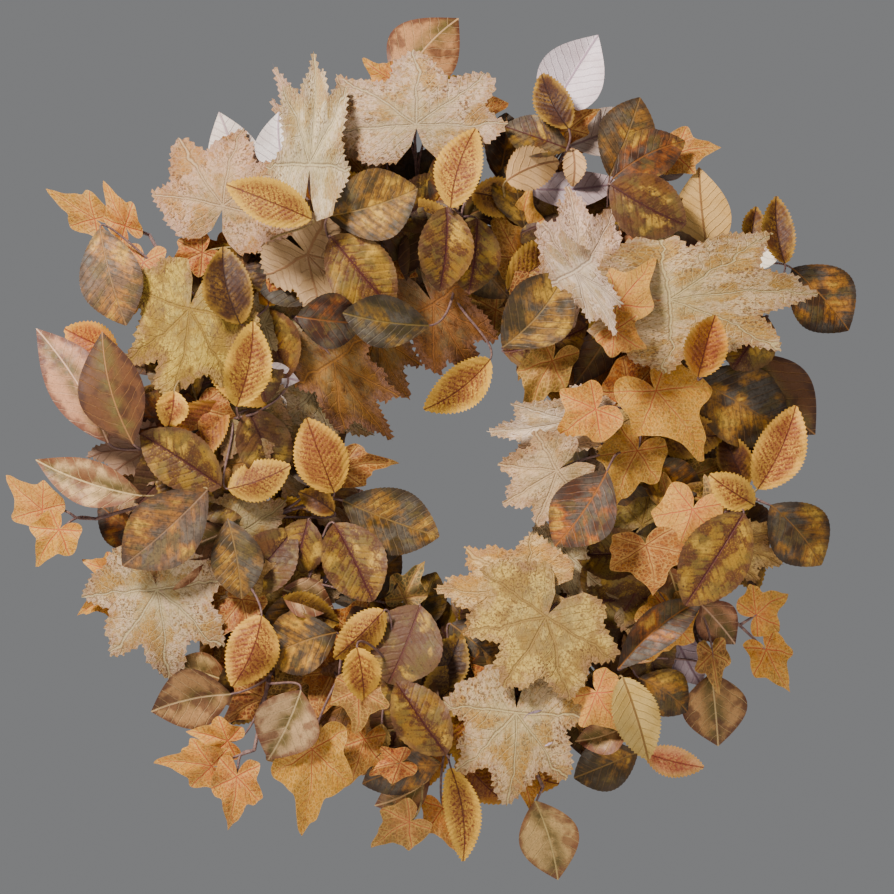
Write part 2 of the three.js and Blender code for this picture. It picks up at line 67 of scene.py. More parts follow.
# ---------------------------------------------------------------- the frame's own dimensions, mm
RING_RADIUS = 175
CORE_CANES = 3
CORE_RADIUS = 3.6
CORE_OFFSET = 5
CORE_TWISTS = 5
OUTER_CANES = 4
OUTER_RADIUS = 3.2
OUTER_OFFSET = 16.5
OUTER_TWISTS = 4
CANE_WOBBLE = 0.8
CANE_SWEEP = math.radians(352)
CANE_STEPS = 420
CANE_SIDES = 16
STRANDS = 12
STRAND_STEPS = 220
TIE_STEPS = 160
TIE_RADIUS = 1.1
TIE_REACH = 23.4
TIE_TURNS = 2
TIE_PITCH = 4.5
TIE_ANGLES = (25.5, 123.5, 216.5, 295)
WIRE_RADIUS = 0.9
LOOP_HALF_WIDTH = 9
LOOP_RISE = 43
LEVEL_PITCH = 12
FIRST_LEVEL = 31
DOME = 0.0019
FOLD = 4
CURL = 3
STEM_RADIUS = 1.4
STEM_SEAT = 22.2
FORK_PLACE = 0.5
FORK_SPACING = 0.2
MM = 0.001
RING_CENTRE = np.array([0, -OUTER_OFFSET, -(RING_RADIUS + LOOP_RISE - WIRE_RADIUS)])

# ---------------------------------------------------------------- looks, mm
CLOTH = 0.5  # thickness of a leaf
LONGER = 1.05  # the printed leaf against the frame's plain one
WIDER = 1.1
FOLDS = (0.9, 1.4, 1.9, 2.4, 2.9, -1.1)  # depths of a leaf's fold along its midrib, over FOLD
CURLS = (0.4, 1.4, 2.4, 3.6, -1.4)  # how far a leaf's tip bends back, over CURL
TWIST = 9  # mm, the most that a leaf's tip is twisted, either way
LEAN = 10  # mm, the most that one side of a leaf stands in front of the other
TIP_RISE = (-7, 5)  # mm, how far a leaf's tip stands in front of its base
LOBE_CURLS = (-5, 7)  # mm, how far a lobe's tip bends back on a leaf 60 mm long
BRIGHTNESS = (0.74, 1.2)  # of one leaf's print against another's
CALM = 0.35  # how far the leaves beside a moving sprig are bent, against the others
BESIDE_A_BEND = {
    "laurel_spray_right", "grape_spray_bottom",
    "ivy_sprig_right", "magnolia_sprig_right", "laurel_sprig_bottom",
}
UNDERGROWTH_PAINTED_SHADE = 0.72  # painted shade: the prints of the leaves underneath are darkened, standing in for the shadow of the leaves in front
PRINT = np.array([0.80, 0.62, 0.44])  # the tan cloth under every print, as red, green and blue
MESH_PITCH = 2.6  # between a blade's mesh points
RIB_SIDE = 1.1  # from a rib's line to the mesh points beside it
PETIOLE_RADIUS = 0.75
BACK_RIB = 0.42  # part of a leaf's length that its wire follows underneath

# Leaf outlines as the frame has them, for finding which leaves cover which: [along, across] of one side.
OVATE = [(0.18, 0.36), (0.48, 0.5), (0.8, 0.3)]
PLAN = {
    "elm": OVATE,
    "rosy": OVATE,
    "magnolia": OVATE,
    "laurel": [(0.22, 0.38), (0.5, 0.5), (0.8, 0.27)],
    "ivy": [(-0.12, 0.26), (0.2, 0.5), (0.5, 0.25)],
    "grape": [(-0.3, 0.14), (-0.22, 0.36), (0.12, 0.5), (0.28, 0.34), (0.66, 0.36), (0.7, 0.16)],
}

# The oval leaves: where they are widest, how blunt their base and tip are, teeth a side and their depth.
SINUS = math.radians(140)  # the notch for the stem of a lobed leaf lies past this angle
OVALS = {
    "elm": (0.45, 0.6, 0.74, 22, 1.5),
    "rosy": (0.5, 0.6, 0.7, 14, 0.7),
    "magnolia": (0.54, 0.8, 0.84, 20, 0.4),
    "laurel": (0.47, 0.85, 1.0, 0, 0),
}
# The lobed leaves, as (degrees from the midrib, reach over the leaf's length) of one side.
LOBES = {
    "grape": [
        (0, 1.0), (8, 0.87), (14, 0.84), (20, 0.75), (27, 0.67), (34, 0.75), (41, 0.89), (48, 0.98),
        (55, 0.87), (62, 0.83), (70, 0.73), (77, 0.69), (85, 0.8), (92, 0.92), (100, 0.87),
        (108, 0.79), (118, 0.7), (128, 0.67), (138, 0.65), (148, 0.6), (158, 0.5), (168, 0.3),
        (178, 0.05),
    ],
    "ivy": [
        (0, 1.0), (5, 0.9), (12, 0.75), (22, 0.63), (34, 0.57), (46, 0.6), (57, 0.67), (67, 0.65),
        (80, 0.55), (94, 0.5), (108, 0.52), (122, 0.53), (136, 0.47), (150, 0.36), (164, 0.18),
        (177, 0.03),
    ],
}
LOBE_SPREAD = {
    kind: max(reach * math.sin(math.radians(angle)) for angle, reach in table)
    for kind, table in LOBES.items()
}
QUILT_DEPTH = {"grape": 0.5, "elm": 0.35, "rosy": 0.25, "magnolia": 0.1, "laurel": 0.2, "ivy": 0.15}  # mm
LOBE_ANGLE = {"grape": 46, "ivy": 60}  # degrees between one main vein and the next

# Tones: main colour, second colour, vein colour.
TONES = {
    "taupe": (0xD4C0AC, 0xB08A3C, 0xCFC8A8),
    "pale": (0xF8ECE2, 0xC8AC74, 0xECE6D2),
    "creamy": (0xF2E0B8, 0xC89C44, 0xDCCBA0),
    "oliveleaf": (0xECD67E, 0xA88A4A, 0xB8A060),
    "rustgrape": (0x8E6624, 0x5E3C1A, 0xB5853F),
    "gold": (0xEAC452, 0x84402A, 0x66281F),
    "orange": (0xD69A38, 0x8C4224, 0x742C1D),
    "brown": (0x62401A, 0x42241A, 0x3A1E18),
    "olive": (0xBE9A46, 0x6A4426, 0x4A2620),
    "pinkgold": (0xDCAC7A, 0xA8584A, 0x843830),
    "olivegold": (0xA88A2C, 0x562420, 0x54202A),
    "brownolive": (0x7E5E2C, 0x54301F, 0x4A2020),
    "taupeoval": (0x6E563E, 0x5E3C30, 0x5A2E30),
    "dark": (0x44321E, 0xBC8A2C, 0x8C6C3A),
    "darkolive": (0x463F22, 0x9C7A2A, 0x8A7A48),
    "greybrown": (0x74624C, 0xB4863A, 0x94805C),
    "rustdark": (0x4A2C18, 0xB06A24, 0x9A6628),
    "tan": (0xE8CAA4, 0x865440, 0xE6D4AE),
    "pinktan": (0xCAA07A, 0x643A2E, 0xE6CEB0),
    "browntan": (0x74502F, 0x4A2E20, 0xB6905E),
    "ivyorange": (0xD29E3A, 0x9C7C30, 0xC04E34),
    "peach": (0xE2B25C, 0xBE9040, 0xCC5A44),
    "rust": (0xAE702A, 0x7E4A20, 0x8E3A22),
    "oliveivy": (0x9C7C3A, 0x7A6A34, 0xB05A3A),
    "red": (0xE89A3C, 0x9A4A2C, 0xA83428),
    "greyivy": (0x66644E, 0x5E5C38, 0xA07058),
    "white": (0xF2DFD6, 0xDEC8BE, 0xA88490),
    "cream": (0xCEA66C, 0xBE9250, 0x6E4228),
    "lilac": (0xC2A8A8, 0xAA8C88, 0x7E5A64),
    "greyunder": (0xA89886, 0x94806A, 0x7A6450),
    "orangeunder": (0xC08E58, 0xA87C4C, 0x9A5A40),
    "mauveunder": (0x9C8078, 0x8A6A60, 0x6A4A4A),
    "tanunder": (0xB0906C, 0x9A7A50, 0x8A6040),
}
# A leaf in one of these tones shows its underside.
UNDER_TONES = {"white", "cream", "lilac", "greyunder", "orangeunder", "mauveunder", "tanunder"}
BACKS = {
    "grape": "greyunder", "elm": "cream", "rosy": "tanunder", "magnolia": "mauveunder",
    "laurel": "lilac", "ivy": "orangeunder",
}
FACES = {
    "grape": "taupe", "elm": "gold", "rosy": "olivegold", "magnolia": "dark", "laurel": "tan",
    "ivy": "ivyorange",
}
# Inks that several prints share, as linear red, green, blue and alpha.
BROWN_INK = (0.12, 0.05, 0.022, 1)
DARK_INK = (0.035, 0.02, 0.012, 1)
MAUVE_INK = (0.3, 0.15, 0.11, 1)
OCHRE_INK = (0.42, 0.22, 0.022, 1)
GOLD_INK = (0.6, 0.34, 0.04, 1)
OLIVE_INK = (0.13, 0.085, 0.018, 1)
SLATE_INK = (0.12, 0.1, 0.075, 1)
GLOW_INK = (0.6, 0.33, 0.075, 1)
SAGE_INK = (0.26, 0.22, 0.1, 1)
WIRE_TONE = (0x6E5250, 0x8A6A5E, 0x4E3838)
STRAW_TONE = (0x9A8050, 0x7A6038, 0xB49A68)

# ---------------------------------------------------------------- leaf sprays, as the frame has them
# A leaf is (kind, base x, base z, tip x, tip z, layer, width, tone).
SPRAYS = {
    "grape_spray_top": [
        ("grape", -18, 253, -20, 308, 3, 132, "taupe"),
        ("laurel", -32, 280, 12, 336, 1, 52, "pinktan"),
        ("ivy", -36, 288, -58, 304, 1, 24, "ivyorange"),
        ("elm", -2, 264, 16, 290, 1, 24, "brown"),
    ],
    "grape_spray_top_left": [
        ("grape", -98, 222, -96, 306, 3, 56, "pale"),
        ("laurel", -115, 212, -122, 262, 1, 34, "white"),
    ],
    "grape_spray_upper_left": [
        ("grape", -164, 192, -150, 250, 2, 104, "taupe"),
        ("elm", -96, 180, -157, 205, 4, 31, "gold"),
        ("laurel", -150, 190, -168, 262, 0, 38, "white"),
        ("ivy", -180, 157, -206, 140, 1, 30, "red"),
    ],
    "magnolia_spray_top_left": [
        ("magnolia", -84, 183, -20, 203, 3, 50, "darkolive"),
        ("rosy", -82, 168, -38, 115, 3, 45, "olivegold"),
        ("grape", -100, 155, -47, 105, 2, 66, "tanunder"),
        ("elm", -70, 158, -20, 178, 1, 32, "brown"),
    ],
    "elm_spray_top": [
        ("elm", 8, 189, 26, 247, 3, 32, "gold"),
        ("rosy", 5, 190, 0, 130, 3, 38, "olivegold"),
        ("rosy", 28, 182, 22, 128, 2, 36, "olivegold"),
        ("elm", 24, 202, 60, 190, 2, 28, "olive"),
    ],
    "laurel_spray_top_right": [
        ("laurel", 80, 258, 119, 322, 1, 46, "white"),
        ("elm", 97, 250, 78, 292, 3, 26, "brown"),
        ("ivy", 98, 250, 121, 266, 2, 22, "rust"),
        ("magnolia", 97, 235, 50, 252, 2, 30, "olivegold"),
        ("elm", 100, 236, 100, 208, 2, 16, "cream"),
    ],
    "elm_spray_top_right": [
        ("elm", 50, 210, 88, 225, 3, 30, "cream"),
        ("laurel", 62, 206, 138, 212, 1, 26, "lilac"),
        ("magnolia", 45, 215, 50, 262, 1, 30, "dark"),
    ],
    "magnolia_spray_upper_right": [
        ("magnolia", 128, 214, 151, 273, 2, 40, "greybrown"),
        ("magnolia", 130, 212, 183, 240, 3, 34, "rustdark"),
        ("laurel", 158, 214, 190, 236, 1, 24, "lilac"),
        ("ivy", 178, 232, 212, 237, 2, 34, "ivyorange"),
    ],
    "rosy_spray_upper_right": [
        ("rosy", 128, 207, 182, 178, 3, 46, "brownolive"),
        ("laurel", 204, 150, 197, 219, 2, 40, "cream"),
        ("rosy", 165, 172, 206, 190, 1, 34, "brownolive"),
    ],
    "grape_spray_upper_right": [
        ("grape", 105, 136, 95, 205, 3, 72, "pale"),
        ("grape", 100, 140, 130, 93, 4, 34, "pale"),
        ("magnolia", 135, 150, 138, 196, 1, 34, "rustdark"),
        ("rosy", 150, 150, 193, 163, 2, 28, "taupeoval"),
    ],
    "grape_spray_right": [
        ("grape", 172, 120, 283, 126, 3, 98, "taupe"),
        ("magnolia", 268, 146, 310, 101, 1, 50, "dark"),
        ("elm", 236, 164, 241, 192, 2, 16, "brown"),
        ("elm", 262, 149, 257, 199, 2, 23, "brown"),
        ("laurel", 228, 145, 263, 168, 1, 22, "white"),
    ],
    "elm_spray_right": [
        ("elm", 193, 62, 205, 106, 4, 30, "orange"),
        ("rosy", 248, 108, 222, 70, 2, 38, "olivegold"),
        ("magnolia", 188, 62, 262, 20, 2, 56, "dark"),
        ("laurel", 236, 80, 283, 22, 1, 52, "browntan"),
    ],
    "ivy_spray_upper_right": [
        ("ivy", 133, 116, 161, 150, 3, 40, "peach"),
        ("ivy", 130, 97, 153, 84, 3, 34, "ivyorange"),
        ("elm", 150, 130, 158, 80, 2, 30, "brown"),
    ],
    "magnolia_spray_inner_top": [
        ("magnolia", 47, 85, 92, 138, 3, 48, "darkolive"),
        ("rosy", 48, 82, 108, 100, 2, 42, "olivegold"),
        ("ivy", 85, 75, 66, 30, 2, 36, "oliveivy"),
    ],
    "elm_spray_inner_top": [
        ("elm", 38, 76, -10, 40, 4, 30, "gold"),
        ("grape", -5, 118, 30, 62, 1, 66, "rustgrape"),
        ("magnolia", -8, 101, -70, 110, 3, 36, "darkolive"),
    ],
    "magnolia_spray_inner_left": [
        ("magnolia", -108, 108, -60, 103, 2, 38, "rustdark"),
        ("grape", -80, 75, -38, 17, 1, 62, "rustgrape"),
    ],
    "ivy_spray_inner_right": [
        ("ivy", 162, 52, 197, 2, 4, 62, "ivyorange"),
        ("ivy", 149, 7, 133, -34, 4, 48, "ivyorange"),
        ("ivy", 117, 38, 88, 14, 4, 46, "ivyorange"),
    ],
    "grape_spray_inner_right": [
        ("grape", 100, 30, 38, 22, 2, 46, "pale"),
        ("grape", 88, -8, 48, -34, 2, 64, "pale"),
        ("magnolia", 125, -8, 88, -62, 4, 45, "rustdark"),
    ],
    "elm_spray_far_right": [
        ("elm", 239, -22, 267, 38, 3, 35, "gold"),
        ("elm", 237, -34, 204, -12, 3, 24, "gold"),
        ("elm", 232, -20, 214, 20, 1, 24, "brown"),
        ("ivy", 212, -40, 200, -12, 2, 30, "greyivy"),
    ],
    "rosy_spray_right": [
        ("rosy", 228, -40, 186, -106, 4, 48, "olivegold"),
        ("ivy", 190, -37, 174, -80, 3, 50, "peach"),
        ("ivy", 176, -40, 168, -10, 2, 32, "oliveivy"),
        ("laurel", 172, -80, 184, -124, 2, 26, "tan"),
    ],
    "ivy_spray_lower_right": [
        ("ivy", 154, -64, 159, -100, 4, 56, "rust"),
        ("rosy", 150, -95, 124, -132, 1, 36, "taupeoval"),
        ("ivy", 173, -117, 158, -152, 3, 44, "ivyorange"),
    ],
    "laurel_spray_right": [
        ("grape", 218, -62, 262, -80, 1, 56, "oliveleaf"),
        ("laurel", 196, -108, 224, -140, 3, 34, "pinktan"),
        ("ivy", 206, -146, 212, -178, 3, 27, "oliveivy"),
    ],
    "magnolia_spray_lower_right": [
        ("magnolia", 134, -157, 195, -107, 3, 28, "rustdark"),
        ("laurel", 206, -162, 212, -216, 2, 46, "pinktan"),
        ("magnolia", 150, -165, 186, -190, 2, 34, "dark"),
        ("laurel", 140, -152, 168, -130, 2, 24, "tan"),
    ],
    "elm_spray_lower_right": [
        ("elm", 137, -163, 156, -223, 4, 32, "cream"),
        ("elm", 155, -222, 199, -234, 3, 22, "pinkgold"),
        ("ivy", 118, -175, 142, -205, 3, 42, "peach"),
        ("magnolia", 150, -222, 104, -241, 2, 36, "darkolive"),
        ("laurel", 143, -200, 104, -212, 2, 26, "tan"),
    ],
    "grape_spray_lower_right": [
        ("grape", 80, -118, 46, -168, 4, 112, "oliveleaf"),
        ("grape", 92, -66, 110, -114, 2, 46, "pale"),
    ],
    "grape_spray_inner_bottom": [
        ("grape", 66, -98, -2, -97, 3, 76, "creamy"),
    ],
    "grape_spray_bottom": [
        ("grape", 57, -190, 50, -262, 3, 110, "taupe"),
        ("ivy", 62, -235, 70, -268, 1, 28, "ivyorange"),
    ],
    "rosy_spray_bottom": [
        ("rosy", 5, -221, -31, -169, 4, 38, "olivegold"),
        ("elm", 8, -232, 17, -302, 3, 25, "gold"),
        ("ivy", 2, -264, 14, -300, 2, 32, "ivyorange"),
    ],
    "magnolia_spray_bottom_left": [
        ("magnolia", 0, -230, -56, -244, 2, 34, "dark"),
        ("laurel", -8, -242, -48, -262, 1, 28, "pinktan"),
        ("ivy", -30, -228, -58, -238, 3, 26, "red"),
        ("ivy", -57, -210, -71, -245, 2, 34, "ivyorange"),
        ("ivy", -23, -274, -51, -294, 2, 36, "oliveivy"),
    ],
    "rosy_spray_inner_bottom": [
        ("rosy", -15, -110, -38, -166, 3, 52, "taupeoval"),
        ("rosy", -12, -158, -38, -222, 1, 48, "taupeoval"),
        ("elm", -42, -113, -78, -148, 3, 26, "gold"),
        ("elm", -62, -140, -57, -179, 4, 26, "gold"),
        ("elm", -44, -199, -48, -223, 1, 13, "cream"),
    ],
    "ivy_spray_lower_left": [
        ("ivy", -80, -160, -95, -195, 1, 44, "rust"),
        ("ivy", -62, -172, -64, -204, 2, 40, "oliveivy"),
        ("magnolia", -78, -130, -130, -150, 1, 44, "dark"),
        ("ivy", -96, -217, -104, -281, 2, 54, "ivyorange"),
    ],
    "laurel_spray_lower_left": [
        ("laurel", -104, -172, -128, -223, 3, 46, "tan"),
        ("laurel", -158, -177, -216, -190, 3, 43, "pinktan"),
        ("laurel", -160, -168, -204, -157, 2, 28, "tan"),
        ("ivy", -160, -212, -191, -206, 3, 30, "ivyorange"),
        ("ivy", -133, -180, -166, -200, 2, 36, "rust"),
    ],
    "elm_spray_lower_left": [
        ("elm", -134, -117, -155, -168, 4, 36, "gold"),
        ("magnolia", -160, -45, -150, -102, 2, 36, "darkolive"),
        ("ivy", -150, -105, -178, -135, 1, 40, "rust"),
    ],
    "grape_spray_lower_left": [
        ("grape", -214, -98, -206, -164, 3, 100, "taupe"),
        ("ivy", -245, -104, -275, -118, 1, 26, "ivyorange"),
        ("ivy", -248, -84, -271, -76, 1, 22, "peach"),
    ],
    "magnolia_spray_left": [
        ("magnolia", -175, -22, -236, -77, 4, 50, "greybrown"),
        ("rosy", -165, -20, -223, 18, 3, 40, "olivegold"),
        ("laurel", -225, -27, -303, -1, 2, 32, "tan"),
    ],
    "laurel_spray_left": [
        ("laurel", -251, 13, -305, 96, 2, 42, "pinktan"),
        ("laurel", -231, 12, -254, 93, 3, 46, "browntan"),
        ("grape", -225, 5, -268, 2, 1, 44, "tanunder"),
    ],
    "grape_spray_left": [
        ("grape", -189, 114, -208, 45, 2, 96, "oliveleaf"),
        ("ivy", -183, 40, -178, 2, 1, 50, "rust"),
        ("elm", -200, 52, -205, 25, 2, 22, "gold"),
        ("elm", -245, 82, -284, 99, 1, 28, "orange"),
    ],
    "elm_spray_left": [
        ("elm", -153, 40, -141, 101, 4, 32, "gold"),
        ("rosy", -115, 62, -138, 114, 3, 38, "olivegold"),
        ("rosy", -145, 38, -122, -12, 3, 38, "brownolive"),
        ("elm", -160, -22, -115, -5, 4, 28, "gold"),
    ],
    "elm_spray_inner_left": [
        ("elm", -80, -25, -100, 29, 4, 37, "gold"),
        ("magnolia", -74, -31, -4, -57, 3, 46, "darkolive"),
        ("ivy", -75, -8, -33, -3, 1, 30, "rust"),
        ("elm", -80, -40, -106, -25, 2, 18, "brown"),
    ],
    "rosy_spray_inner_left": [
        ("rosy", -100, -45, -116, -86, 2, 34, "olivegold"),
        ("rosy", -80, -48, -52, -104, 3, 44, "olivegold"),
        ("ivy", -27, -105, -12, -78, 1, 28, "greyivy"),
        ("laurel", -120, -98, -82, -112, 1, 28, "tan"),
    ],
    "elm_spray_upper_left": [
        ("elm", -150, 102, -163, 158, 3, 34, "brown"),
        ("elm", -130, 116, -128, 152, 1, 36, "orange"),
    ],
    "magnolia_spray_upper_left": [
        ("magnolia", -258, 176, -238, 105, 2, 44, "greybrown"),
        ("ivy", -225, 150, -232, 112, 1, 36, "peach"),
    ],
}

# Sprigs on bendable wire. bend: where the wire bends. spray: the spray that carries it. stems: the
# plan points of each stem between the bend and its leaf.
SPRIGS = {
    "ivy_sprig_left": {
        "spray": "magnolia_spray_left",
        "bend": (-262, -45),
        "leaves": [
            ("ivy", -303, -38, -331, -13, 2, 36, "peach"),
            ("ivy", -289, -53, -307, -80, 2, 36, "ivyorange"),
        ],
        "stems": [[(-276, -44), (-285, -39)], [(-276, -44)]],
    },
    "ivy_sprig_upper_left": {
        "spray": "magnolia_spray_upper_left",
        "bend": (-222, 172),
        "leaves": [
            ("ivy", -264, 184, -301, 207, 2, 28, "ivyorange"),
            ("ivy", -240, 178, -257, 212, 2, 24, "ivyorange"),
        ],
        "stems": [[], []],
    },
    "ivy_sprig_lower_left": {
        "spray": "laurel_spray_lower_left",
        "bend": (-140, -219),
        "leaves": [
            ("ivy", -172, -231, -215, -230, 3, 34, "ivyorange"),
            ("ivy", -153, -238, -160, -278, 3, 36, "ivyorange"),
        ],
        "stems": [[(-150, -222)], [(-150, -222)]],
    },
    "ivy_sprig_right": {
        "spray": "laurel_spray_right",
        "bend": (228, -126),
        "leaves": [
            ("ivy", 240, -118, 265, -102, 2, 42, "ivyorange"),
            ("ivy", 248, -144, 268, -178, 2, 35, "ivyorange"),
        ],
        "stems": [[], []],
    },
    "magnolia_sprig_right": {
        "spray": "elm_spray_far_right",
        "bend": (240, -30),
        "leaves": [("magnolia", 250, -34, 290, -80, 3, 50, "dark")],
        "stems": [[]],
    },
    "laurel_sprig_bottom": {
        "spray": "grape_spray_bottom",
        "bend": (78, -248),
        "leaves": [("laurel", 72, -258, 90, -321, 3, 46, "tan")],
        "stems": [[]],
    },
}


# Deep leaves that close the gaps: (distance from the ring's centre, leaves in that circle, longest leaf).
UNDERGROWTH = [
    (106, 15, 50), (126, 20, 58), (148, 24, 62), (170, 26, 66), (192, 30, 66), (214, 34, 64),
    (236, 34, 54),
]
# Single leaves that peep out between and behind the sprays.
PEEPING = [
    ("grape", -100, 226, -127, 300, 0, 34, "pale"),
    ("grape", -50, 250, -78, 292, 0, 56, "taupe"),
    ("ivy", 6, 262, 50, 271, 0, 46, "rust"),
    ("laurel", 98, 238, 150, 266, 0, 34, "lilac"),
    ("ivy", 98, 240, 120, 264, 0, 26, "ivyorange"),
    ("grape", -50, 100, -24, 48, 0, 54, "rustgrape"),
    ("grape", -96, 52, -52, 20, 0, 48, "taupe"),
    ("laurel", 176, -128, 198, -170, 0, 32, "lilac"),
    ("magnolia", -84, 160, -24, 182, 0, 40, "darkolive"),
    ("ivy", 62, 172, 68, 208, 0, 28, "peach"),
    ("rosy", -128, -150, -166, -182, 0, 34, "brownolive"),
    ("laurel", -176, -62, -220, -98, 0, 36, "tan"),
    ("grape", -120, 30, -160, 18, 0, 40, "taupe"),
    ("laurel", -140, 66, -108, 60, 0, 18, "white"),
    ("laurel", -118, 34, -130, 50, 0, 14, "white"),
    ("grape", 130, 88, 90, 56, 0, 54, "rustgrape"),
    ("grape", 120, 40, 92, 66, 0, 44, "rustgrape"),
    ("laurel", 60, -212, 88, -190, 0, 26, "lilac"),
    ("magnolia", -118, -6, -74, 2, 0, 40, "dark"),
    ("rosy", -110, 8, -74, 30, 0, 34, "brownolive"),
    ("grape", -104, -60, -88, -12, 0, 70, "rustgrape"),
    ("laurel", -96, -70, -104, -100, 0, 28, "lilac"),
    ("laurel", -66, -74, -74, -46, 0, 26, "lilac"),
    ("magnolia", 150, -8, 196, -20, 0, 36, "dark"),
    ("grape", 156, -150, 128, -190, 0, 64, "rustgrape"),
    ("laurel", 182, -70, 208, -86, 0, 30, "tan"),
    ("magnolia", 96, 26, 128, -8, 0, 40, "darkolive"),
    ("magnolia", 8, -124, 40, -152, 0, 40, "dark"),
    ("grape", -96, -20, -58, -56, 0, 46, "taupe"),
    ("rosy", -62, -26, -86, -56, 0, 34, "brownolive"),
]
UNDERGROWTH_PARTS = ("upper_right", "upper_left", "lower_left", "lower_right")
DEEP_KINDS = {
    "grape": ("rustgrape", "oliveleaf", "taupe"),
    "elm": ("brown", "gold", "olive", "orange"),
    "rosy": ("brownolive", "olivegold", "taupeoval"),
    "magnolia": ("dark", "rustdark", "darkolive", "greybrown"),
    "laurel": ("browntan", "pinktan", "tan"),
    "ivy": ("rust", "ivyorange", "oliveivy", "red"),
}
DEEP_WIDTHS = {"grape": 1.5, "elm": 0.58, "rosy": 0.66, "magnolia": 0.64, "laurel": 0.5, "ivy": 0.95}


# ---------------------------------------------------------------- leaves: where each one lies
class Leaf:
    """One leaf: its place in plan, its layer and the ways in which its blade is bent."""

    def __init__(self, row, seed, calm=False):
        self.kind, base_x, base_z, tip_x, tip_z, self.layer, plain_width, self.tone = row
        longer, wider, bends = (1, 1, CALM) if calm else (LONGER, WIDER, 1)
        self.base = np.array([base_x, base_z], float)
        reach = np.array([tip_x, tip_z], float) - self.base
        self.plain = (float(np.hypot(*reach)), plain_width)
        self.along = reach / self.plain[0]
        self.length = self.plain[0] * longer
        self.width = plain_width * wider
        self.level = 0
        self.seed = seed
        draw = random.Random(seed)
        self.fold = draw.choice(FOLDS)
        self.curl = draw.choice(CURLS)
        self.arch = draw.uniform(0, 4.5)
        self.dip = draw.uniform(1, 4)
        self.wave = draw.uniform(0.7, 2.1)
        self.waves = draw.uniform(1.0, 2.4)
        self.phase = draw.uniform(0, 2 * math.pi)
        self.twist = bends * draw.uniform(-TWIST, TWIST)
        self.lean = bends * draw.uniform(-LEAN, LEAN)
        self.pitch = bends * draw.uniform(*TIP_RISE)
        self.lobe_curls = bends * np.array([draw.uniform(*LOBE_CURLS) for _ in range(5)])
        self.sway = draw.uniform(-0.07, 0.07)
        brightness = draw.uniform(*BRIGHTNESS)
        self.shade = brightness * np.array([1, draw.uniform(0.92, 1.1), draw.uniform(0.8, 1.25)])

    def plan(self, along, across):
        """Plan points at mm along and across the blade. Across grows to the left of the midrib."""
        part = along / self.length
        aside = across + self.sway * self.length * 4 * np.clip(part, 0, 1) * np.clip(1 - part, 0, 1)
        x = self.base[0] + self.along[0] * along - self.along[1] * aside
        z = self.base[1] + self.along[1] * along + self.along[0] * aside
        return x, z

    def rise(self, along, across):
        """How far the blade stands in front of its own level, in mm."""
        part = along / self.length
        side = across / self.width
        valley = np.abs(side)
        rise = self.pitch * (part - 0.35)
        if self.kind in LOBE_ANGLE:
            valley = np.abs(self.lobe_place(along, across)[1]) / self.width
            rise -= self.lobe_bend(along, across)
        rise += 2 * FOLD * self.fold * (np.sqrt(valley**2 + 0.02**2) - 0.02)
        rise -= CURL * self.curl * np.clip(part, 0, None) ** 2
        rise += self.arch * 4 * part * (1 - part) * (1 - 2 * np.abs(side))
        rise -= self.dip * np.clip(1 - part, 0, 1) ** 3
        margin = np.clip(2 * np.abs(side), 0, 1) ** 2
        rise += self.wave * np.sin(2 * math.pi * self.waves * part + self.phase + 2 * side) * margin
        rise += self.twist * part * side * 2
        rise += self.lean * side
        rise += QUILT_DEPTH[self.kind] * self.quilting(along, across)
        return rise

    def even_place(self, along, across):
        """A point's distance from the base, angle and lobe, as if the leaf were as wide as it is long."""
        spread = self.width / 2 / LOBE_SPREAD[self.kind]
        u, v = along / self.length, across / spread
        angle = np.arctan2(v, u)
        lobe = np.clip(np.round(angle / math.radians(LOBE_ANGLE[self.kind])), -2, 2)
        return np.hypot(u, v), angle, lobe

    def lobe_place(self, along, across):
        """The place of a point from its nearest main vein: along it and across it."""
        reach, angle, lobe = self.even_place(along, across)
        off = angle - lobe * math.radians(LOBE_ANGLE[self.kind])
        reach = reach * (self.length + self.width / 2 / LOBE_SPREAD[self.kind]) / 2
        return reach * np.cos(off), reach * np.sin(off)

    def lobe_bend(self, along, across):
        """How far each lobe bends back towards its tip."""
        reach, angle, lobe = self.even_place(along, across)
        part = angle / math.radians(LOBE_ANGLE[self.kind]) - lobe
        bend = self.lobe_curls[lobe.astype(int) + 2] * self.length / 60
        return bend * np.clip(reach, 0, 1.1) ** 2 * np.cos(np.clip(part, -0.5, 0.5) * math.pi) ** 2

    def quilting(self, along, across):
        """Puffs of cloth between the side veins, from 0 at a vein to 1."""
        if self.kind in LOBE_ANGLE:
            along, across = self.lobe_place(along, across)
        spacing = {"laurel": 9, "magnolia": 8}.get(self.kind, 6.5)
        return np.abs(np.sin(math.pi * (along - 0.8 * np.abs(across)) / spacing))

    def points(self, along, across):
        """Points of the blade's middle surface, in mm from the ring's centre."""
        along = np.asarray(along, float)
        across = np.asarray(across, float)
        x, z = self.plan(along, across)
        fall = DOME * (np.hypot(x, z) - RING_RADIUS) ** 2
        y = fall - FIRST_LEVEL - self.level * LEVEL_PITCH - self.rise(along, across)
        return np.stack([x, y, z], axis=-1)

    def frame_outline(self):
        """The outline that the frame's own leaf has, in plan, for finding what it covers."""
        half = PLAN[self.kind]
        ring = [(0, 0)] + [(u, -v) for u, v in half] + [(1, 0)] + half[::-1]
        places = []
        for u, v in ring:
            along, across = u * self.plain[0], v * self.plain[1]
            places.append((
                self.base[0] + self.along[0] * along - self.along[1] * across,
                self.base[1] + self.along[1] * along + self.along[0] * across,
            ))
        return places


def turn(p, q, r):
    return (q[0] - p[0]) * (r[1] - p[1]) - (q[1] - p[1]) * (r[0] - p[0])


def edges_cross(a, b, c, d):
    return turn(a, b, c) * turn(a, b, d) < 0 and turn(c, d, a) * turn(c, d, b) < 0


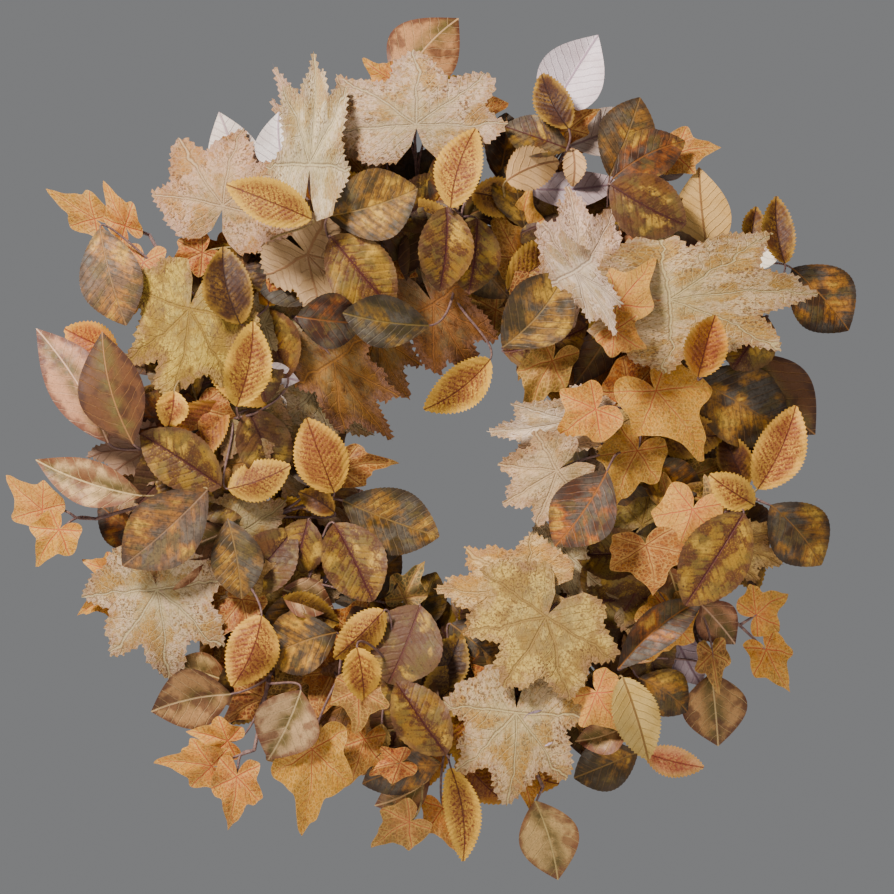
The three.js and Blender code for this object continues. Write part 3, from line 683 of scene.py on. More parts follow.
def is_inside(point, outline):
    x, z = point
    inside = False
    for (ax, az), (bx, bz) in zip(outline, outline[1:] + outline[:1]):
        if (az > z) != (bz > z) and x < ax + (bx - ax) * (z - az) / (bz - az):
            inside = not inside
    return inside


def outlines_meet(first, second):
    for a, b in zip(first, first[1:] + first[:1]):
        if any(edges_cross(a, b, c, d) for c, d in zip(second, second[1:] + second[:1])):
            return True
    return is_inside(first[0], second) or is_inside(second[0], first)


def assign_levels(leaves):
    """Each leaf, from the deepest up, takes the first level in front of every leaf that it covers."""
    placed = []
    for leaf in sorted(leaves, key=lambda one: one.layer):
        outline = leaf.frame_outline()
        covered = [other.level for other, plan in placed if outlines_meet(outline, plan)]
        leaf.level = max(covered, default=-1) + 1
        placed.append((leaf, outline))


def tuck_in(leaf, spare, placed, parts):
    """Puts a leaf behind every leaf that covers it, and in the quarter of the wreath that it lies in."""
    outline = leaf.frame_outline()
    x, z = leaf.base + leaf.along * leaf.length / 2
    covered = [other.level for other, plan in placed if outlines_meet(outline, plan)]
    lowest = -0.45 if abs(math.hypot(x, z) - RING_RADIUS) < 42 else -2
    leaf.level = max(min(covered, default=1) - 1, lowest + spare)
    placed.append((leaf, outline))
    quarter = int(math.atan2(z, x) % (2 * math.pi) / (math.pi / 2)) % 4
    parts[UNDERGROWTH_PARTS[quarter]].append(leaf)


def undergrowth(leaves):
    """Leaves behind all the others, in circles about the ring's centre, as {part: leaves}."""
    draw = random.Random("undergrowth")
    placed = [(leaf, leaf.frame_outline()) for leaf in leaves]
    parts = {name: [] for name in UNDERGROWTH_PARTS}
    for i, row in enumerate(PEEPING):
        tuck_in(Leaf(row, f"peeping {i}"), 0, placed, parts)
    for reach, count, longest in UNDERGROWTH:
        for i in range(count):
            angle = 2 * math.pi * (i + draw.uniform(-0.3, 0.3)) / count + reach
            radius = reach + draw.uniform(-8, 8)
            kind = draw.choices(list(DEEP_KINDS), (3, 4, 4, 4, 2, 3))[0]
            length = longest * draw.uniform(0.75, 1.0) * (0.8 if kind in LOBE_ANGLE else 1)
            outward = angle + draw.uniform(-1.1, 1.1) + (math.pi if radius < RING_RADIUS - 15 else 0)
            step = np.array([math.cos(outward), math.sin(outward)]) * length / 2
            middle = np.array([math.cos(angle), math.sin(angle)]) * radius
            ends = (*(middle - step), *(middle + step))
            row = (kind, *ends, 0, length * DEEP_WIDTHS[kind], draw.choice(DEEP_KINDS[kind]))
            leaf = Leaf(row, f"undergrowth {reach} {i}")
            # painted shade: a deep leaf's print is darkened, as if shadowed by the leaves in front
            leaf.shade *= UNDERGROWTH_PAINTED_SHADE
            tuck_in(leaf, draw.uniform(0, 0.3), placed, parts)
    return parts


# ---------------------------------------------------------------- leaves: outlines and blades
def oval_outline(leaf):
    """The outline of an oval leaf, anticlockwise from its base, as [along, across] in mm."""
    widest, base, tip, teeth, depth = OVALS[leaf.kind]

    def half_width(part):
        if part < widest:
            return math.sin(math.pi / 2 * part / widest) ** base * leaf.width / 2
        return math.cos(math.pi / 2 * (part - widest) / (1 - widest)) ** tip * leaf.width / 2

    side = []
    if teeth:
        count = max(8, round(teeth * leaf.length / 60))
        depth *= min(1, leaf.width / 26)
        for i in range(count):
            valley = (i + 0.1) / count
            peak = (i + 0.82) / count
            side.append((valley * leaf.length, max(half_width(valley) - depth * 0.4, 0.3)))
            side.append((peak * leaf.length, half_width(peak) + depth * 0.6))
    else:
        count = 26
        for i in range(1, count):
            part = 0.5 - 0.5 * math.cos(math.pi * i / count)
            side.append((part * leaf.length, half_width(part)))
    ring = [(0, -0.25)] + [(u, -v) for u, v in side] + [(leaf.length, 0)]
    return np.array(ring + side[::-1] + [(0, 0.25)])


def lobed_outline(leaf):
    """The outline of a lobed leaf, anticlockwise from its base, as [along, across] in mm."""
    grape = leaf.kind == "grape"
    draw = random.Random(leaf.seed + " outline")
    table = LOBES[leaf.kind]
    widest = LOBE_SPREAD[leaf.kind]
    sides = []
    for side in (-1, 1):
        stretch = [1 + draw.uniform(-0.07, 0.07) for _ in table]
        stretch[0] = 1
        places = []
        for (angle, reach), factor in zip(table, stretch):
            turned = math.radians(angle)
            u = reach * factor * math.cos(turned) * leaf.length
            v = reach * factor * math.sin(turned) / widest * leaf.width / 2
            places.append(np.array([u, side * v]))
        sides.append(toothed(places, draw) if grape else rounded(places))
    right, left = sides
    return np.array(right[::-1] + left[1:])


def toothed(places, draw):
    """Small irregular teeth along a run of straight edges, but none beside the stem."""
    run = [places[0]]
    for p, q in zip(places, places[1:]):
        if math.atan2(abs(p[1]), p[0]) > SINUS:
            run.append(q)
            continue
        edge = q - p
        size = float(np.hypot(*edge))
        count = max(1, round(size / 5.5))
        normal = np.array([-edge[1], edge[0]]) / max(size, 1e-6)
        outward = normal if normal @ (p + q) > 0 else -normal
        for i in range(count):
            start = (i + draw.uniform(0.35, 0.5)) / count
            peak = (i + draw.uniform(0.62, 0.8)) / count
            if count > 1 or size > 3:
                run.append(p + edge * start - outward * draw.uniform(0.5, 1.1))
                run.append(p + edge * peak + outward * draw.uniform(0.8, 2.0))
        run.append(q)
    return run


def rounded(places):
    """A smooth run through the same places."""
    ends = [places[0]] + places + [places[-1]]
    run = [places[0]]
    for a, b, c, d in zip(ends, ends[1:], ends[2:], ends[3:]):
        for t in (1 / 3, 2 / 3, 1):
            run.append(catmull(a, b, c, d, t))
    return run


def catmull(a, b, c, d, t):
    return 0.5 * (2 * b + (c - a) * t + (2 * a - 5 * b + 4 * c - d) * t**2 + (3 * b - a - 3 * c + d) * t**3)


def edge_distance(points, starts, ends):
    """The distance from each point to the nearest of some straight edges."""
    spans = ends - starts
    squared = np.maximum((spans**2).sum(1), 1e-9)
    offset = points[:, None, :] - starts[None]
    place = np.clip((offset * spans[None]).sum(2) / squared[None], 0, 1)
    nearest = offset - place[..., None] * spans[None]
    return np.sqrt((nearest**2).sum(2)).min(1)


def enclosed(points, outline):
    """Which points lie inside an outline."""
    a = outline
    b = np.roll(outline, -1, axis=0)
    x, z = points[:, :1], points[:, 1:]
    spans = (a[None, :, 1] > z) != (b[None, :, 1] > z)
    rise = np.where(b[:, 1] == a[:, 1], 1e-9, b[:, 1] - a[:, 1])
    meets = x < a[None, :, 0] + (b - a)[None, :, 0] * (z - a[None, :, 1]) / rise[None]
    return (spans & meets).sum(1) % 2 == 1


def rib_lines(leaf):
    """The main veins as [start, end] pairs, in mm along and across the blade."""
    if leaf.kind not in LOBE_ANGLE:
        return [((0, 0), (leaf.length * 0.9, 0))]
    spread = leaf.width / 2 / LOBE_SPREAD[leaf.kind]
    lines = []
    for step in (-2, -1, 0, 1, 2):
        angle = math.radians(step * LOBE_ANGLE[leaf.kind])
        reach = 0.8 if leaf.kind == "grape" or step == 0 else 0.42
        end = (reach * leaf.length * math.cos(angle), reach * spread * math.sin(angle))
        lines.append(((0.5 * math.cos(angle), 0.5 * math.sin(angle)), end))
    return lines


def mesh_points(leaf, outline):
    """Points inside a blade: on its main veins, beside them, and on a staggered grid elsewhere."""
    lines = rib_lines(leaf)
    starts = outline
    ends = np.roll(outline, -1, axis=0)
    rib_starts = np.array([start for start, _ in lines], float)
    rib_ends = np.array([end for _, end in lines], float)
    on_ribs = []
    for start, end in zip(rib_starts, rib_ends):
        span = end - start
        count = max(2, int(np.hypot(*span) / MESH_PITCH))
        normal = np.array([-span[1], span[0]]) / np.hypot(*span)
        for i in range(1, count):
            place = start + span * i / count
            on_ribs += [place, place + normal * RIB_SIDE, place - normal * RIB_SIDE]
    on_ribs = np.array(on_ribs)
    clear = edge_distance(on_ribs, starts, ends) > 0.35 * MESH_PITCH
    on_ribs = on_ribs[clear & enclosed(on_ribs, outline)]
    kept = []
    for place in on_ribs:
        if all(abs(place[0] - q[0]) + abs(place[1] - q[1]) > 0.9 for q in kept):
            kept.append(place)
    low, high = outline.min(0), outline.max(0)
    rows = np.arange(low[1] + 0.6, high[1], MESH_PITCH * 0.87)
    grid = [
        (u + (MESH_PITCH / 2 if i % 2 else 0), v)
        for i, v in enumerate(rows)
        for u in np.arange(low[0], high[0], MESH_PITCH)
    ]
    grid = np.array(grid)
    far = edge_distance(grid, starts, ends) > 0.5 * MESH_PITCH
    far &= edge_distance(grid, rib_starts, rib_ends) > RIB_SIDE + 0.5 * MESH_PITCH
    grid = grid[far & enclosed(grid, outline)]
    return np.vstack([np.array(kept).reshape(-1, 2), grid])


def blade_mesh(leaf):
    """A blade's outline size, its flat points and its triangles."""
    outline = lobed_outline(leaf) if leaf.kind in LOBE_ANGLE else oval_outline(leaf)
    flat = np.vstack([outline, mesh_points(leaf, outline)])
    rim = [(i, (i + 1) % len(outline)) for i in range(len(outline))]
    made = delaunay_2d_cdt([Vector(p) for p in flat], rim, [], 0, 1e-6, False)
    flat = np.array([tuple(p) for p in made[0]])
    corners = np.array(made[2])
    corners = corners[enclosed(flat[corners].mean(axis=1), outline)]
    triangles = []
    for a, b, c in corners.tolist():
        if turn(flat[a], flat[b], flat[c]) < 0:
            b, c = c, b
        triangles.append((a, b, c))
    return len(outline), flat, triangles


# ---------------------------------------------------------------- pieces
class Piece:
    """Gathers blades and wires into one mesh, with the values that the materials read."""

    def __init__(self):
        self.points, self.faces, self.slots, self.sharp = [], [], [], []
        self.blade, self.edge, self.colours = [], [], []
        self.materials = []
        self.size = 0

    def add(self, points, faces, material, blade, edge, tone, shade=1.0, tint=1.0):
        if material not in self.materials:
            self.materials.append(material)
        slot = self.materials.index(material)
        self.points.append(points)
        self.faces += [tuple(i + self.size for i in face) for face in faces]
        self.slots += [slot] * len(faces)
        self.blade.append(blade)
        self.edge.append(edge)
        linear = np.array([linear_colour(c) for c in tone]) * shade * tint
        self.colours.append(np.repeat(linear[None], len(points), axis=0))
        self.size += len(points)

    def build(self, name):
        world = (np.vstack(self.points) + RING_CENTRE) * MM
        mesh = bpy.data.meshes.new(name)
        mesh.from_pydata(world.tolist(), [], self.faces)
        for material in self.materials:
            mesh.materials.append(MATERIALS[material])
        mesh.polygons.foreach_set("material_index", self.slots)
        mesh.polygons.foreach_set("use_smooth", [True] * len(self.faces))
        self.mark_sharp(mesh)
        place = mesh.attributes.new("blade", "FLOAT_VECTOR", "POINT")
        place.data.foreach_set("vector", np.vstack(self.blade).astype(np.float32).ravel())
        edge = mesh.attributes.new("edge", "FLOAT", "POINT")
        edge.data.foreach_set("value", np.concatenate(self.edge).astype(np.float32))
        colours = np.vstack(self.colours)
        for i, title in enumerate(("main", "second", "vein")):
            layer = mesh.attributes.new(title, "FLOAT_COLOR", "POINT")
            full = np.ones((self.size, 4), np.float32)
            full[:, :3] = colours[:, i]
            layer.data.foreach_set("color", full.ravel())
        piece = bpy.data.objects.new(name, mesh)
        bpy.context.scene.collection.objects.link(piece)
        return piece

    def mark_sharp(self, mesh):
        """A blade's rim meets its two faces at sharp edges."""
        if not self.sharp:
            return
        ends = np.zeros(len(mesh.edges) * 2, np.int32)
        mesh.edges.foreach_get("vertices", ends)
        ends = np.sort(ends.reshape(-1, 2), axis=1).astype(np.int64)
        wanted = np.sort(np.array(self.sharp), axis=1).astype(np.int64)
        flags = np.isin(ends[:, 0] * self.size + ends[:, 1], wanted[:, 0] * self.size + wanted[:, 1])
        layer = mesh.attributes.new("sharp_edge", "BOOLEAN", "EDGE")
        layer.data.foreach_set("value", flags)


def linear_colour(code):
    """A hexadecimal screen colour as linear red, green and blue."""
    parts = [(code >> shift & 255) / 255 for shift in (16, 8, 0)]
    return [c / 12.92 if c <= 0.04045 else ((c + 0.055) / 1.055) ** 2.4 for c in parts]


def add_blade(piece, leaf):
    """A leaf's two faces and its rim."""
    rim, flat, triangles = blade_mesh(leaf)
    middle = leaf.points(flat[:, 0], flat[:, 1])
    step = np.array([0, CLOTH / 2, 0])
    outline = flat[:rim]
    edge = edge_distance(flat, outline, np.roll(outline, -1, axis=0))
    edge[:rim] = 0
    seed = random.Random(leaf.seed + " print").uniform(0, 900)
    if leaf.kind in LOBE_ANGLE:
        spread = leaf.width / 2 / LOBE_SPREAD[leaf.kind]
        size = (leaf.length + spread) / 2
        u, v = flat[:, 0] / leaf.length * size, flat[:, 1] / spread * size
    else:
        u, v = flat[:, 0], flat[:, 1]
    blade = np.stack([u, v, np.full(len(flat), seed)], axis=1)
    shows_back = leaf.tone in UNDER_TONES
    under = "under_lobed" if leaf.kind in LOBE_ANGLE else "under_oval"
    face = leaf.kind + "_face"
    front, back = (under, face) if shows_back else (face, under)
    back_tone = TONES[FACES[leaf.kind] if shows_back else BACKS[leaf.kind]]
    loop = [(i, (i + 1) % rim) for i in range(rim)]
    tints = (1.0, PRINT) if shows_back else (PRINT, 1.0)
    piece.add(middle - step, triangles, front, blade, edge, TONES[leaf.tone], leaf.shade, tints[0])
    before = piece.size - len(flat)
    flipped = [(a, c, b) for a, b, c in triangles]
    piece.add(middle + step, flipped, back, blade, edge, back_tone, leaf.shade, tints[1])
    after = piece.size - len(flat)
    slot = piece.materials.index(front)
    for a, b in loop:
        piece.faces.append((before + b, before + a, after + a, after + b))
        piece.slots.append(slot)
        piece.sharp += [(before + a, before + b), (after + a, after + b)]


def resample(route, pitch):
    """Points at even steps on a smooth curve through a route."""
    route = [np.asarray(p, float) for p in route]
    first, last = 2 * route[0] - route[1], 2 * route[-1] - route[-2]
    ends = [first] + route + [last]
    run = [route[0]]
    for a, b, c, d in zip(ends, ends[1:], ends[2:], ends[3:]):
        count = max(2, int(np.linalg.norm(c - b) / pitch))
        for i in range(1, count + 1):
            run.append(catmull(a, b, c, d, i / count))
    return np.array(run)


def tube(points, radii, sides, closed=False, bumps=None):
    """A tube's points, faces, and for each point how far along and round it lies."""
    count = len(points)
    ahead = np.roll(points, -1, axis=0) - np.roll(points, 1, axis=0)
    if not closed:
        ahead[0], ahead[-1] = points[1] - points[0], points[-1] - points[-2]
    ahead /= np.maximum(np.linalg.norm(ahead, axis=1, keepdims=True), 1e-9)
    normal = np.cross(ahead[0], (0.3, 0.2, 0.93))
    normal /= np.linalg.norm(normal)
    rings = []
    for i in range(count):
        normal = normal - ahead[i] * (normal @ ahead[i])
        normal /= np.linalg.norm(normal)
        side = np.cross(ahead[i], normal)
        turns = 2 * math.pi * np.arange(sides) / sides
        radius = radii[i] * (np.ones(sides) if bumps is None else bumps(i, turns))
        ring = points[i] + radius[:, None] * (np.cos(turns)[:, None] * normal + np.sin(turns)[:, None] * side)
        rings.append(ring)
    along = np.concatenate([[0], np.cumsum(np.linalg.norm(np.diff(points, axis=0), axis=1))])
    faces = []
    for i in range(count if closed else count - 1):
        j = (i + 1) % count
        for k in range(sides):
            n = (k + 1) % sides
            faces.append((i * sides + k, i * sides + n, j * sides + n, j * sides + k))
    if not closed:
        faces.append(tuple(reversed(range(sides))))
        faces.append(tuple((count - 1) * sides + k for k in range(sides)))
    places = [(along[i], k / sides) for i in range(count) for k in range(sides)]
    return np.vstack(rings), faces, np.array(places)


def add_tube(piece, points, radii, sides, material, tone, seed, closed=False, bumps=None, shade=1.0):
    made, faces, places = tube(points, radii, sides, closed, bumps)
    girth = 2 * math.pi * float(np.mean(radii))
    turns = 2 * math.pi * places[:, 1]
    blade = np.stack([places[:, 0], np.cos(turns) * girth / 6 + seed, np.sin(turns) * girth / 6], axis=1)
    edge = np.repeat(np.asarray(radii, float), sides)
    piece.add(made, faces, material, blade, edge, tone, shade)


# ---------------------------------------------------------------- stems
def stem_seat(x, z):
    """Where a stem leaves the vine, on the way to a point in plan."""
    reach = math.hypot(x, z)
    lean = max(-1.2, min(1.2, (reach - RING_RADIUS) / 100))
    radius = RING_RADIUS + STEM_SEAT * math.sin(lean)
    return np.array([x / reach * radius, -STEM_SEAT * math.cos(lean), z / reach * radius])


def fork_of(leaves):
    """Where a spray's stem leaves the vine and where it forks."""
    middle = np.mean([leaf.points(0, 0) for leaf in leaves], axis=0)
    seat = stem_seat(middle[0], middle[2])
    return seat, seat + (middle - seat) * FORK_PLACE


def bezier(a, b, c, d, count):
    t = np.linspace(0, 1, count)[:, None]
    return (1 - t) ** 3 * a + 3 * (1 - t) ** 2 * t * b + 3 * (1 - t) * t**2 * c + t**3 * d


def back_rib(leaf):
    """The wire's run under a leaf's midrib."""
    along = np.linspace(1.5, BACK_RIB * leaf.length, 8)
    points = leaf.points(along, np.zeros(8))
    return points + np.array([0, CLOTH / 2 + 0.35, 0])


def add_stem(piece, start, heading, leaf, tone):
    """A curved stem from a fork to a leaf, and on under the leaf's midrib."""
    rib = back_rib(leaf)
    arrival = rib[1] - rib[0]
    arrival /= np.linalg.norm(arrival)
    span = float(np.linalg.norm(rib[0] - start))
    path = bezier(start, start + heading * span * 0.3, rib[0] - arrival * span * 0.3, rib[0], 18)
    points = np.vstack([path, rib[1:]])
    radii = np.concatenate([
        np.linspace(STEM_RADIUS * 0.8, PETIOLE_RADIUS, 18),
        np.linspace(PETIOLE_RADIUS, 0.3, 7),
    ])
    add_tube(piece, points, radii, 8, "coated_wire", tone, random.Random(leaf.seed).uniform(0, 90))


def add_spray_stems(piece, leaves, tone):
    seat, fork = fork_of(leaves)
    heading = (fork - seat) / np.linalg.norm(fork - seat)
    trunk = resample([seat - heading * 4, seat, fork], 3)
    add_tube(piece, trunk, np.full(len(trunk), STEM_RADIUS), 8, "coated_wire", tone, 3)
    for i, leaf in enumerate(leaves):
        start = fork + (seat - fork) * FORK_SPACING * i
        add_stem(piece, start, heading, leaf, tone)
    return seat, fork


# ---------------------------------------------------------------- materials
class Shader:
    """A material, and short ways to add its nodes."""

    def __init__(self, name, roughness=0.65, specular=0.3):
        self.material = bpy.data.materials.new(name)
        self.material.use_nodes = True
        self.tree = self.material.node_tree
        self.surface = self.tree.nodes["Principled BSDF"]
        self.surface.inputs["Roughness"].default_value = roughness
        self.surface.inputs["Specular IOR Level"].default_value = specular

    def put(self, socket, value):
        if isinstance(value, bpy.types.NodeSocket):
            self.tree.links.new(value, socket)
        elif value is not None:
            socket.default_value = value

    def node(self, kind, values=(), **settings):
        made = self.tree.nodes.new(kind)
        for key, value in settings.items():
            setattr(made, key, value)
        for key, value in dict(values).items():
            self.put(made.inputs[key], value)
        return made

    def math(self, operation, first, second=None, third=None):
        made = self.node("ShaderNodeMath", operation=operation)
        for socket, value in zip(made.inputs, (first, second, third)):
            self.put(socket, value)
        return made.outputs[0]

    def add(self, first, second):
        return self.math("ADD", first, second)

    def times(self, first, second):
        return self.math("MULTIPLY", first, second)

    def step(self, value, low, high, start=0.0, end=1.0):
        """A smooth step from start at low to end at high."""
        made = self.node("ShaderNodeMapRange", interpolation_type="SMOOTHSTEP")
        keys = ("Value", "From Min", "From Max", "To Min", "To Max")
        for key, part in zip(keys, (value, low, high, start, end)):
            self.put(made.inputs[key], part)
        return made.outputs[0]

    def mix(self, factor, first, second, blend="MIX"):
        made = self.node("ShaderNodeMix", data_type="RGBA", blend_type=blend)
        self.put(made.inputs["Factor"], factor)
        self.put(made.inputs[6], first)
        self.put(made.inputs[7], second)
        return made.outputs[2]

    def attribute(self, name, output="Color"):
        return self.node("ShaderNodeAttribute", attribute_name=name).outputs[output]

    def split(self, vector):
        return self.node("ShaderNodeSeparateXYZ", {"Vector": vector}).outputs

    def join(self, x, y, z=0.0):
        made = self.node("ShaderNodeCombineXYZ")
        for socket, value in zip(made.inputs, (x, y, z)):
            self.put(socket, value)
        return made.outputs[0]

    def noise(self, vector, scale, detail=2.0, rough=0.5):
        values = {"Vector": vector, "Scale": scale, "Detail": detail, "Roughness": rough}
        return self.node("ShaderNodeTexNoise", values).outputs["Fac"]

    def cells(self, vector, scale, feature="F1", output="Distance"):
        values = {"Vector": vector, "Scale": scale}
        return self.node("ShaderNodeTexVoronoi", values, feature=feature).outputs[output]

    def finish(self, colour, height, strength, distance, rough=None):
        self.put(self.surface.inputs["Base Color"], colour)
        bump = self.node("ShaderNodeBump", {"Height": height, "Strength": strength, "Distance": distance})
        self.put(self.surface.inputs["Normal"], bump.outputs[0])
        if rough is not None:
            self.put(self.surface.inputs["Roughness"], rough)
        return self.material


class LeafShader(Shader):
    """A leaf's material, with its place on the blade and its tones ready to use."""

    def __init__(self, name, lobe_angle=None, **values):
        super().__init__(name, **values)
        self.place = self.attribute("blade", "Vector")
        self.edge = self.attribute("edge", "Fac")
        self.main = self.attribute("main")
        self.second = self.attribute("second")
        self.vein = self.attribute("vein")
        along, across, _ = self.split(self.place)
        squares = self.add(self.math("POWER", along, 2.0), self.math("POWER", across, 2.0))
        self.reach = self.math("SQRT", squares)
        if lobe_angle is not None:
            step = math.radians(lobe_angle)
            stray = self.times(self.math("SUBTRACT", self.noise(self.place, 0.05), 0.5), 0.3)
            angle = self.add(self.math("ARCTAN2", across, along), stray)
            near = self.math("ROUND", self.math("DIVIDE", angle, step))
            near = self.math("MINIMUM", self.math("MAXIMUM", near, -2.0), 2.0)
            off = self.math("SUBTRACT", angle, self.times(near, step))
            along = self.times(self.reach, self.math("COSINE", off))
            across = self.times(self.reach, self.math("SINE", off))
        self.along = along
        self.aside = self.math("ABSOLUTE", across)

    def side_veins(self, spacing, lean, width, soft=0.0):
        """Lines that leave the midrib towards the tip: 1 on a line, 0 away from it."""
        wander = self.times(self.math("SUBTRACT", self.noise(self.place, 0.09), 0.5), spacing * 0.7)
        place = self.add(self.math("SUBTRACT", self.along, self.times(self.aside, lean)), wander)
        part = self.math("FRACT", self.math("DIVIDE", place, spacing))
        off = self.times(self.math("ABSOLUTE", self.math("SUBTRACT", part, 0.5)), spacing)
        return self.step(off, soft, width, 1.0, 0.0)

    def midrib(self, width):
        return self.step(self.aside, width * 0.3, width, 1.0, 0.0)

    def patches(self, scale, low, high, detail=3.0):
        return self.step(self.noise(self.place, scale, detail), low, high)

    def stretched(self, across, along):
        """The place on the blade, drawn out along the side veins."""
        slant = self.math("SUBTRACT", self.along, self.times(self.aside, 0.8))
        return self.join(self.times(slant, across), self.times(self.aside, along), self.split(self.place)[2])

    def cloth(self):
        """The printed cloth's grain."""
        return self.noise(self.place, 2.4, 2.0)

    def tint(self, colour, amount=0.16, scale=0.7):
        """Small changes of lightness, as in ink on cloth."""
        change = self.step(self.noise(self.place, scale, 4.0, 0.7), 0.25, 0.75, 1 - amount, 1 + amount)
        return self.mix(1.0, colour, self.join(change, change, change), "MULTIPLY")


def grape_face():
    s = LeafShader("grape_face", LOBE_ANGLE["grape"], roughness=0.78, specular=0.2)
    colour = s.mix(s.times(s.patches(0.045, 0.47, 0.56, 3.0), 0.85), s.main, s.second)
    margin = s.step(s.add(s.edge, s.times(s.noise(s.place, 0.09, 4.0), -22.0)), -10.0, -2.0, 1.0, 0.0)
    colour = s.mix(s.times(margin, 0.45), colour, MAUVE_INK)
    colour = s.mix(s.times(s.patches(0.3, 0.48, 0.6, 4.0), 0.6), colour, s.second)
    cloud = s.step(s.noise(s.place, 0.055), 0.38, 0.62, 0.3, 1.0)
    colour = s.mix(s.times(s.times(s.patches(0.6, 0.5, 0.6, 3.0), cloud), 0.85), colour, BROWN_INK)
    heart = s.times(s.step(s.reach, 8.0, 44.0, 1.0, 0.0), s.patches(0.12, 0.3, 0.6))
    colour = s.mix(s.times(heart, 0.45), colour, SAGE_INK)
    net = s.step(s.cells(s.place, 0.3, "DISTANCE_TO_EDGE"), 0.02, 0.12, 1.0, 0.0)
    colour = s.mix(s.times(net, 0.3), colour, s.vein)
    halo = s.times(s.step(s.aside, 0.8, 6.5, 1.0, 0.0), s.step(s.reach, 10.0, 48.0, 0.8, 0.2))
    colour = s.mix(s.times(halo, s.patches(0.3, 0.25, 0.6)), colour, s.vein)
    side = s.side_veins(8.0, 0.95, 0.7)
    rib = s.midrib(0.9)
    colour = s.mix(s.times(side, 0.45), colour, s.vein)
    colour = s.mix(s.times(s.step(s.aside, 0.9, 1.7, 1.0, 0.0), 0.5), colour, BROWN_INK)
    colour = s.mix(s.times(rib, 0.8), colour, s.vein)
    colour = s.tint(colour, 0.16, 0.9)
    grooves = s.add(s.times(net, -0.3), s.times(s.math("MAXIMUM", side, rib), -0.8))
    height = s.add(s.times(s.cloth(), 0.3), grooves)
    return s.finish(colour, height, 0.7, 0.0007, s.step(s.noise(s.place, 0.5), 0.3, 0.7, 0.7, 0.86))


def elm_face():
    s = LeafShader("elm_face", roughness=0.62)
    lines = s.side_veins(4.4, 0.75, 1.9, 0.3)
    core = s.step(s.add(s.edge, s.times(s.noise(s.place, 0.14, 4.0), -9.0)), -3.6, 2.4)
    grain = s.patches(0.75, 0.38, 0.56, 3.0)
    colour = s.mix(s.times(s.patches(0.1, 0.4, 0.7), 0.5), s.main, OCHRE_INK)
    flush = s.times(core, s.patches(0.07, 0.4, 0.62, 3.0))
    colour = s.mix(s.times(flush, 0.55), colour, s.second)
    ink = s.times(s.times(core, grain), s.add(s.times(lines, 0.45), 0.52))
    colour = s.mix(ink, colour, s.second)
    colour = s.mix(s.step(s.edge, 0.0, 2.4, 0.3, 0.0), colour, GOLD_INK)
    rib = s.midrib(0.8)
    colour = s.mix(s.times(rib, 0.85), colour, s.vein)
    colour = s.tint(colour, 0.2, 0.8)
    height = s.add(s.times(s.cloth(), 0.3), s.times(s.math("MAXIMUM", s.times(lines, 0.5), rib), -0.9))
    return s.finish(colour, height, 0.7, 0.0007, s.step(s.noise(s.place, 0.3), 0.3, 0.7, 0.5, 0.7))


def rosy_face():
    s = LeafShader("rosy_face", roughness=0.6)
    lines = s.side_veins(6.5, 0.7, 1.5, 0.2)
    ragged = s.times(s.math("SUBTRACT", s.noise(s.place, 0.22, 5.0, 0.7), 0.35), 16.0)
    band = s.step(s.math("SUBTRACT", s.aside, ragged), -1.0, 2.2, 1.0, 0.0)
    feather = s.times(lines, s.step(s.aside, 4.0, 13.0, 1.0, 0.0))
    blot = s.times(s.patches(0.075, 0.5, 0.58, 4.0), 0.75)
    ink = s.math("MAXIMUM", s.times(band, 0.9), s.math("MAXIMUM", s.times(feather, 0.75), blot))
    ink = s.times(ink, s.patches(0.8, 0.27, 0.5, 3.0))
    olive = s.mix(s.times(s.patches(0.08, 0.4, 0.6, 4.0), 0.75), s.main, OLIVE_INK)
    olive = s.mix(s.times(s.patches(0.065, 0.54, 0.66), 0.7), olive, GOLD_INK)
    colour = s.mix(ink, olive, s.second)
    colour = s.mix(s.times(s.patches(0.7, 0.54, 0.66, 3.0), 0.45), colour, s.second)
    colour = s.mix(s.step(s.cells(s.place, 0.2), 0.08, 0.2, 0.7, 0.0), colour, DARK_INK)
    colour = s.mix(s.times(s.midrib(0.9), 0.85), colour, s.vein)
    margin = s.step(s.add(s.edge, s.times(s.noise(s.place, 0.13, 4.0), -10.0)), -4.6, 0.0, 1.0, 0.0)
    colour = s.mix(s.times(margin, 0.6), colour, BROWN_INK)
    colour = s.tint(colour, 0.18, 0.9)
    grooves = s.math("MAXIMUM", s.times(lines, 0.4), s.midrib(0.9))
    height = s.add(s.times(s.cloth(), 0.3), s.times(grooves, -0.9))
    return s.finish(colour, height, 0.75, 0.0007, s.step(s.noise(s.place, 0.3), 0.3, 0.7, 0.46, 0.68))


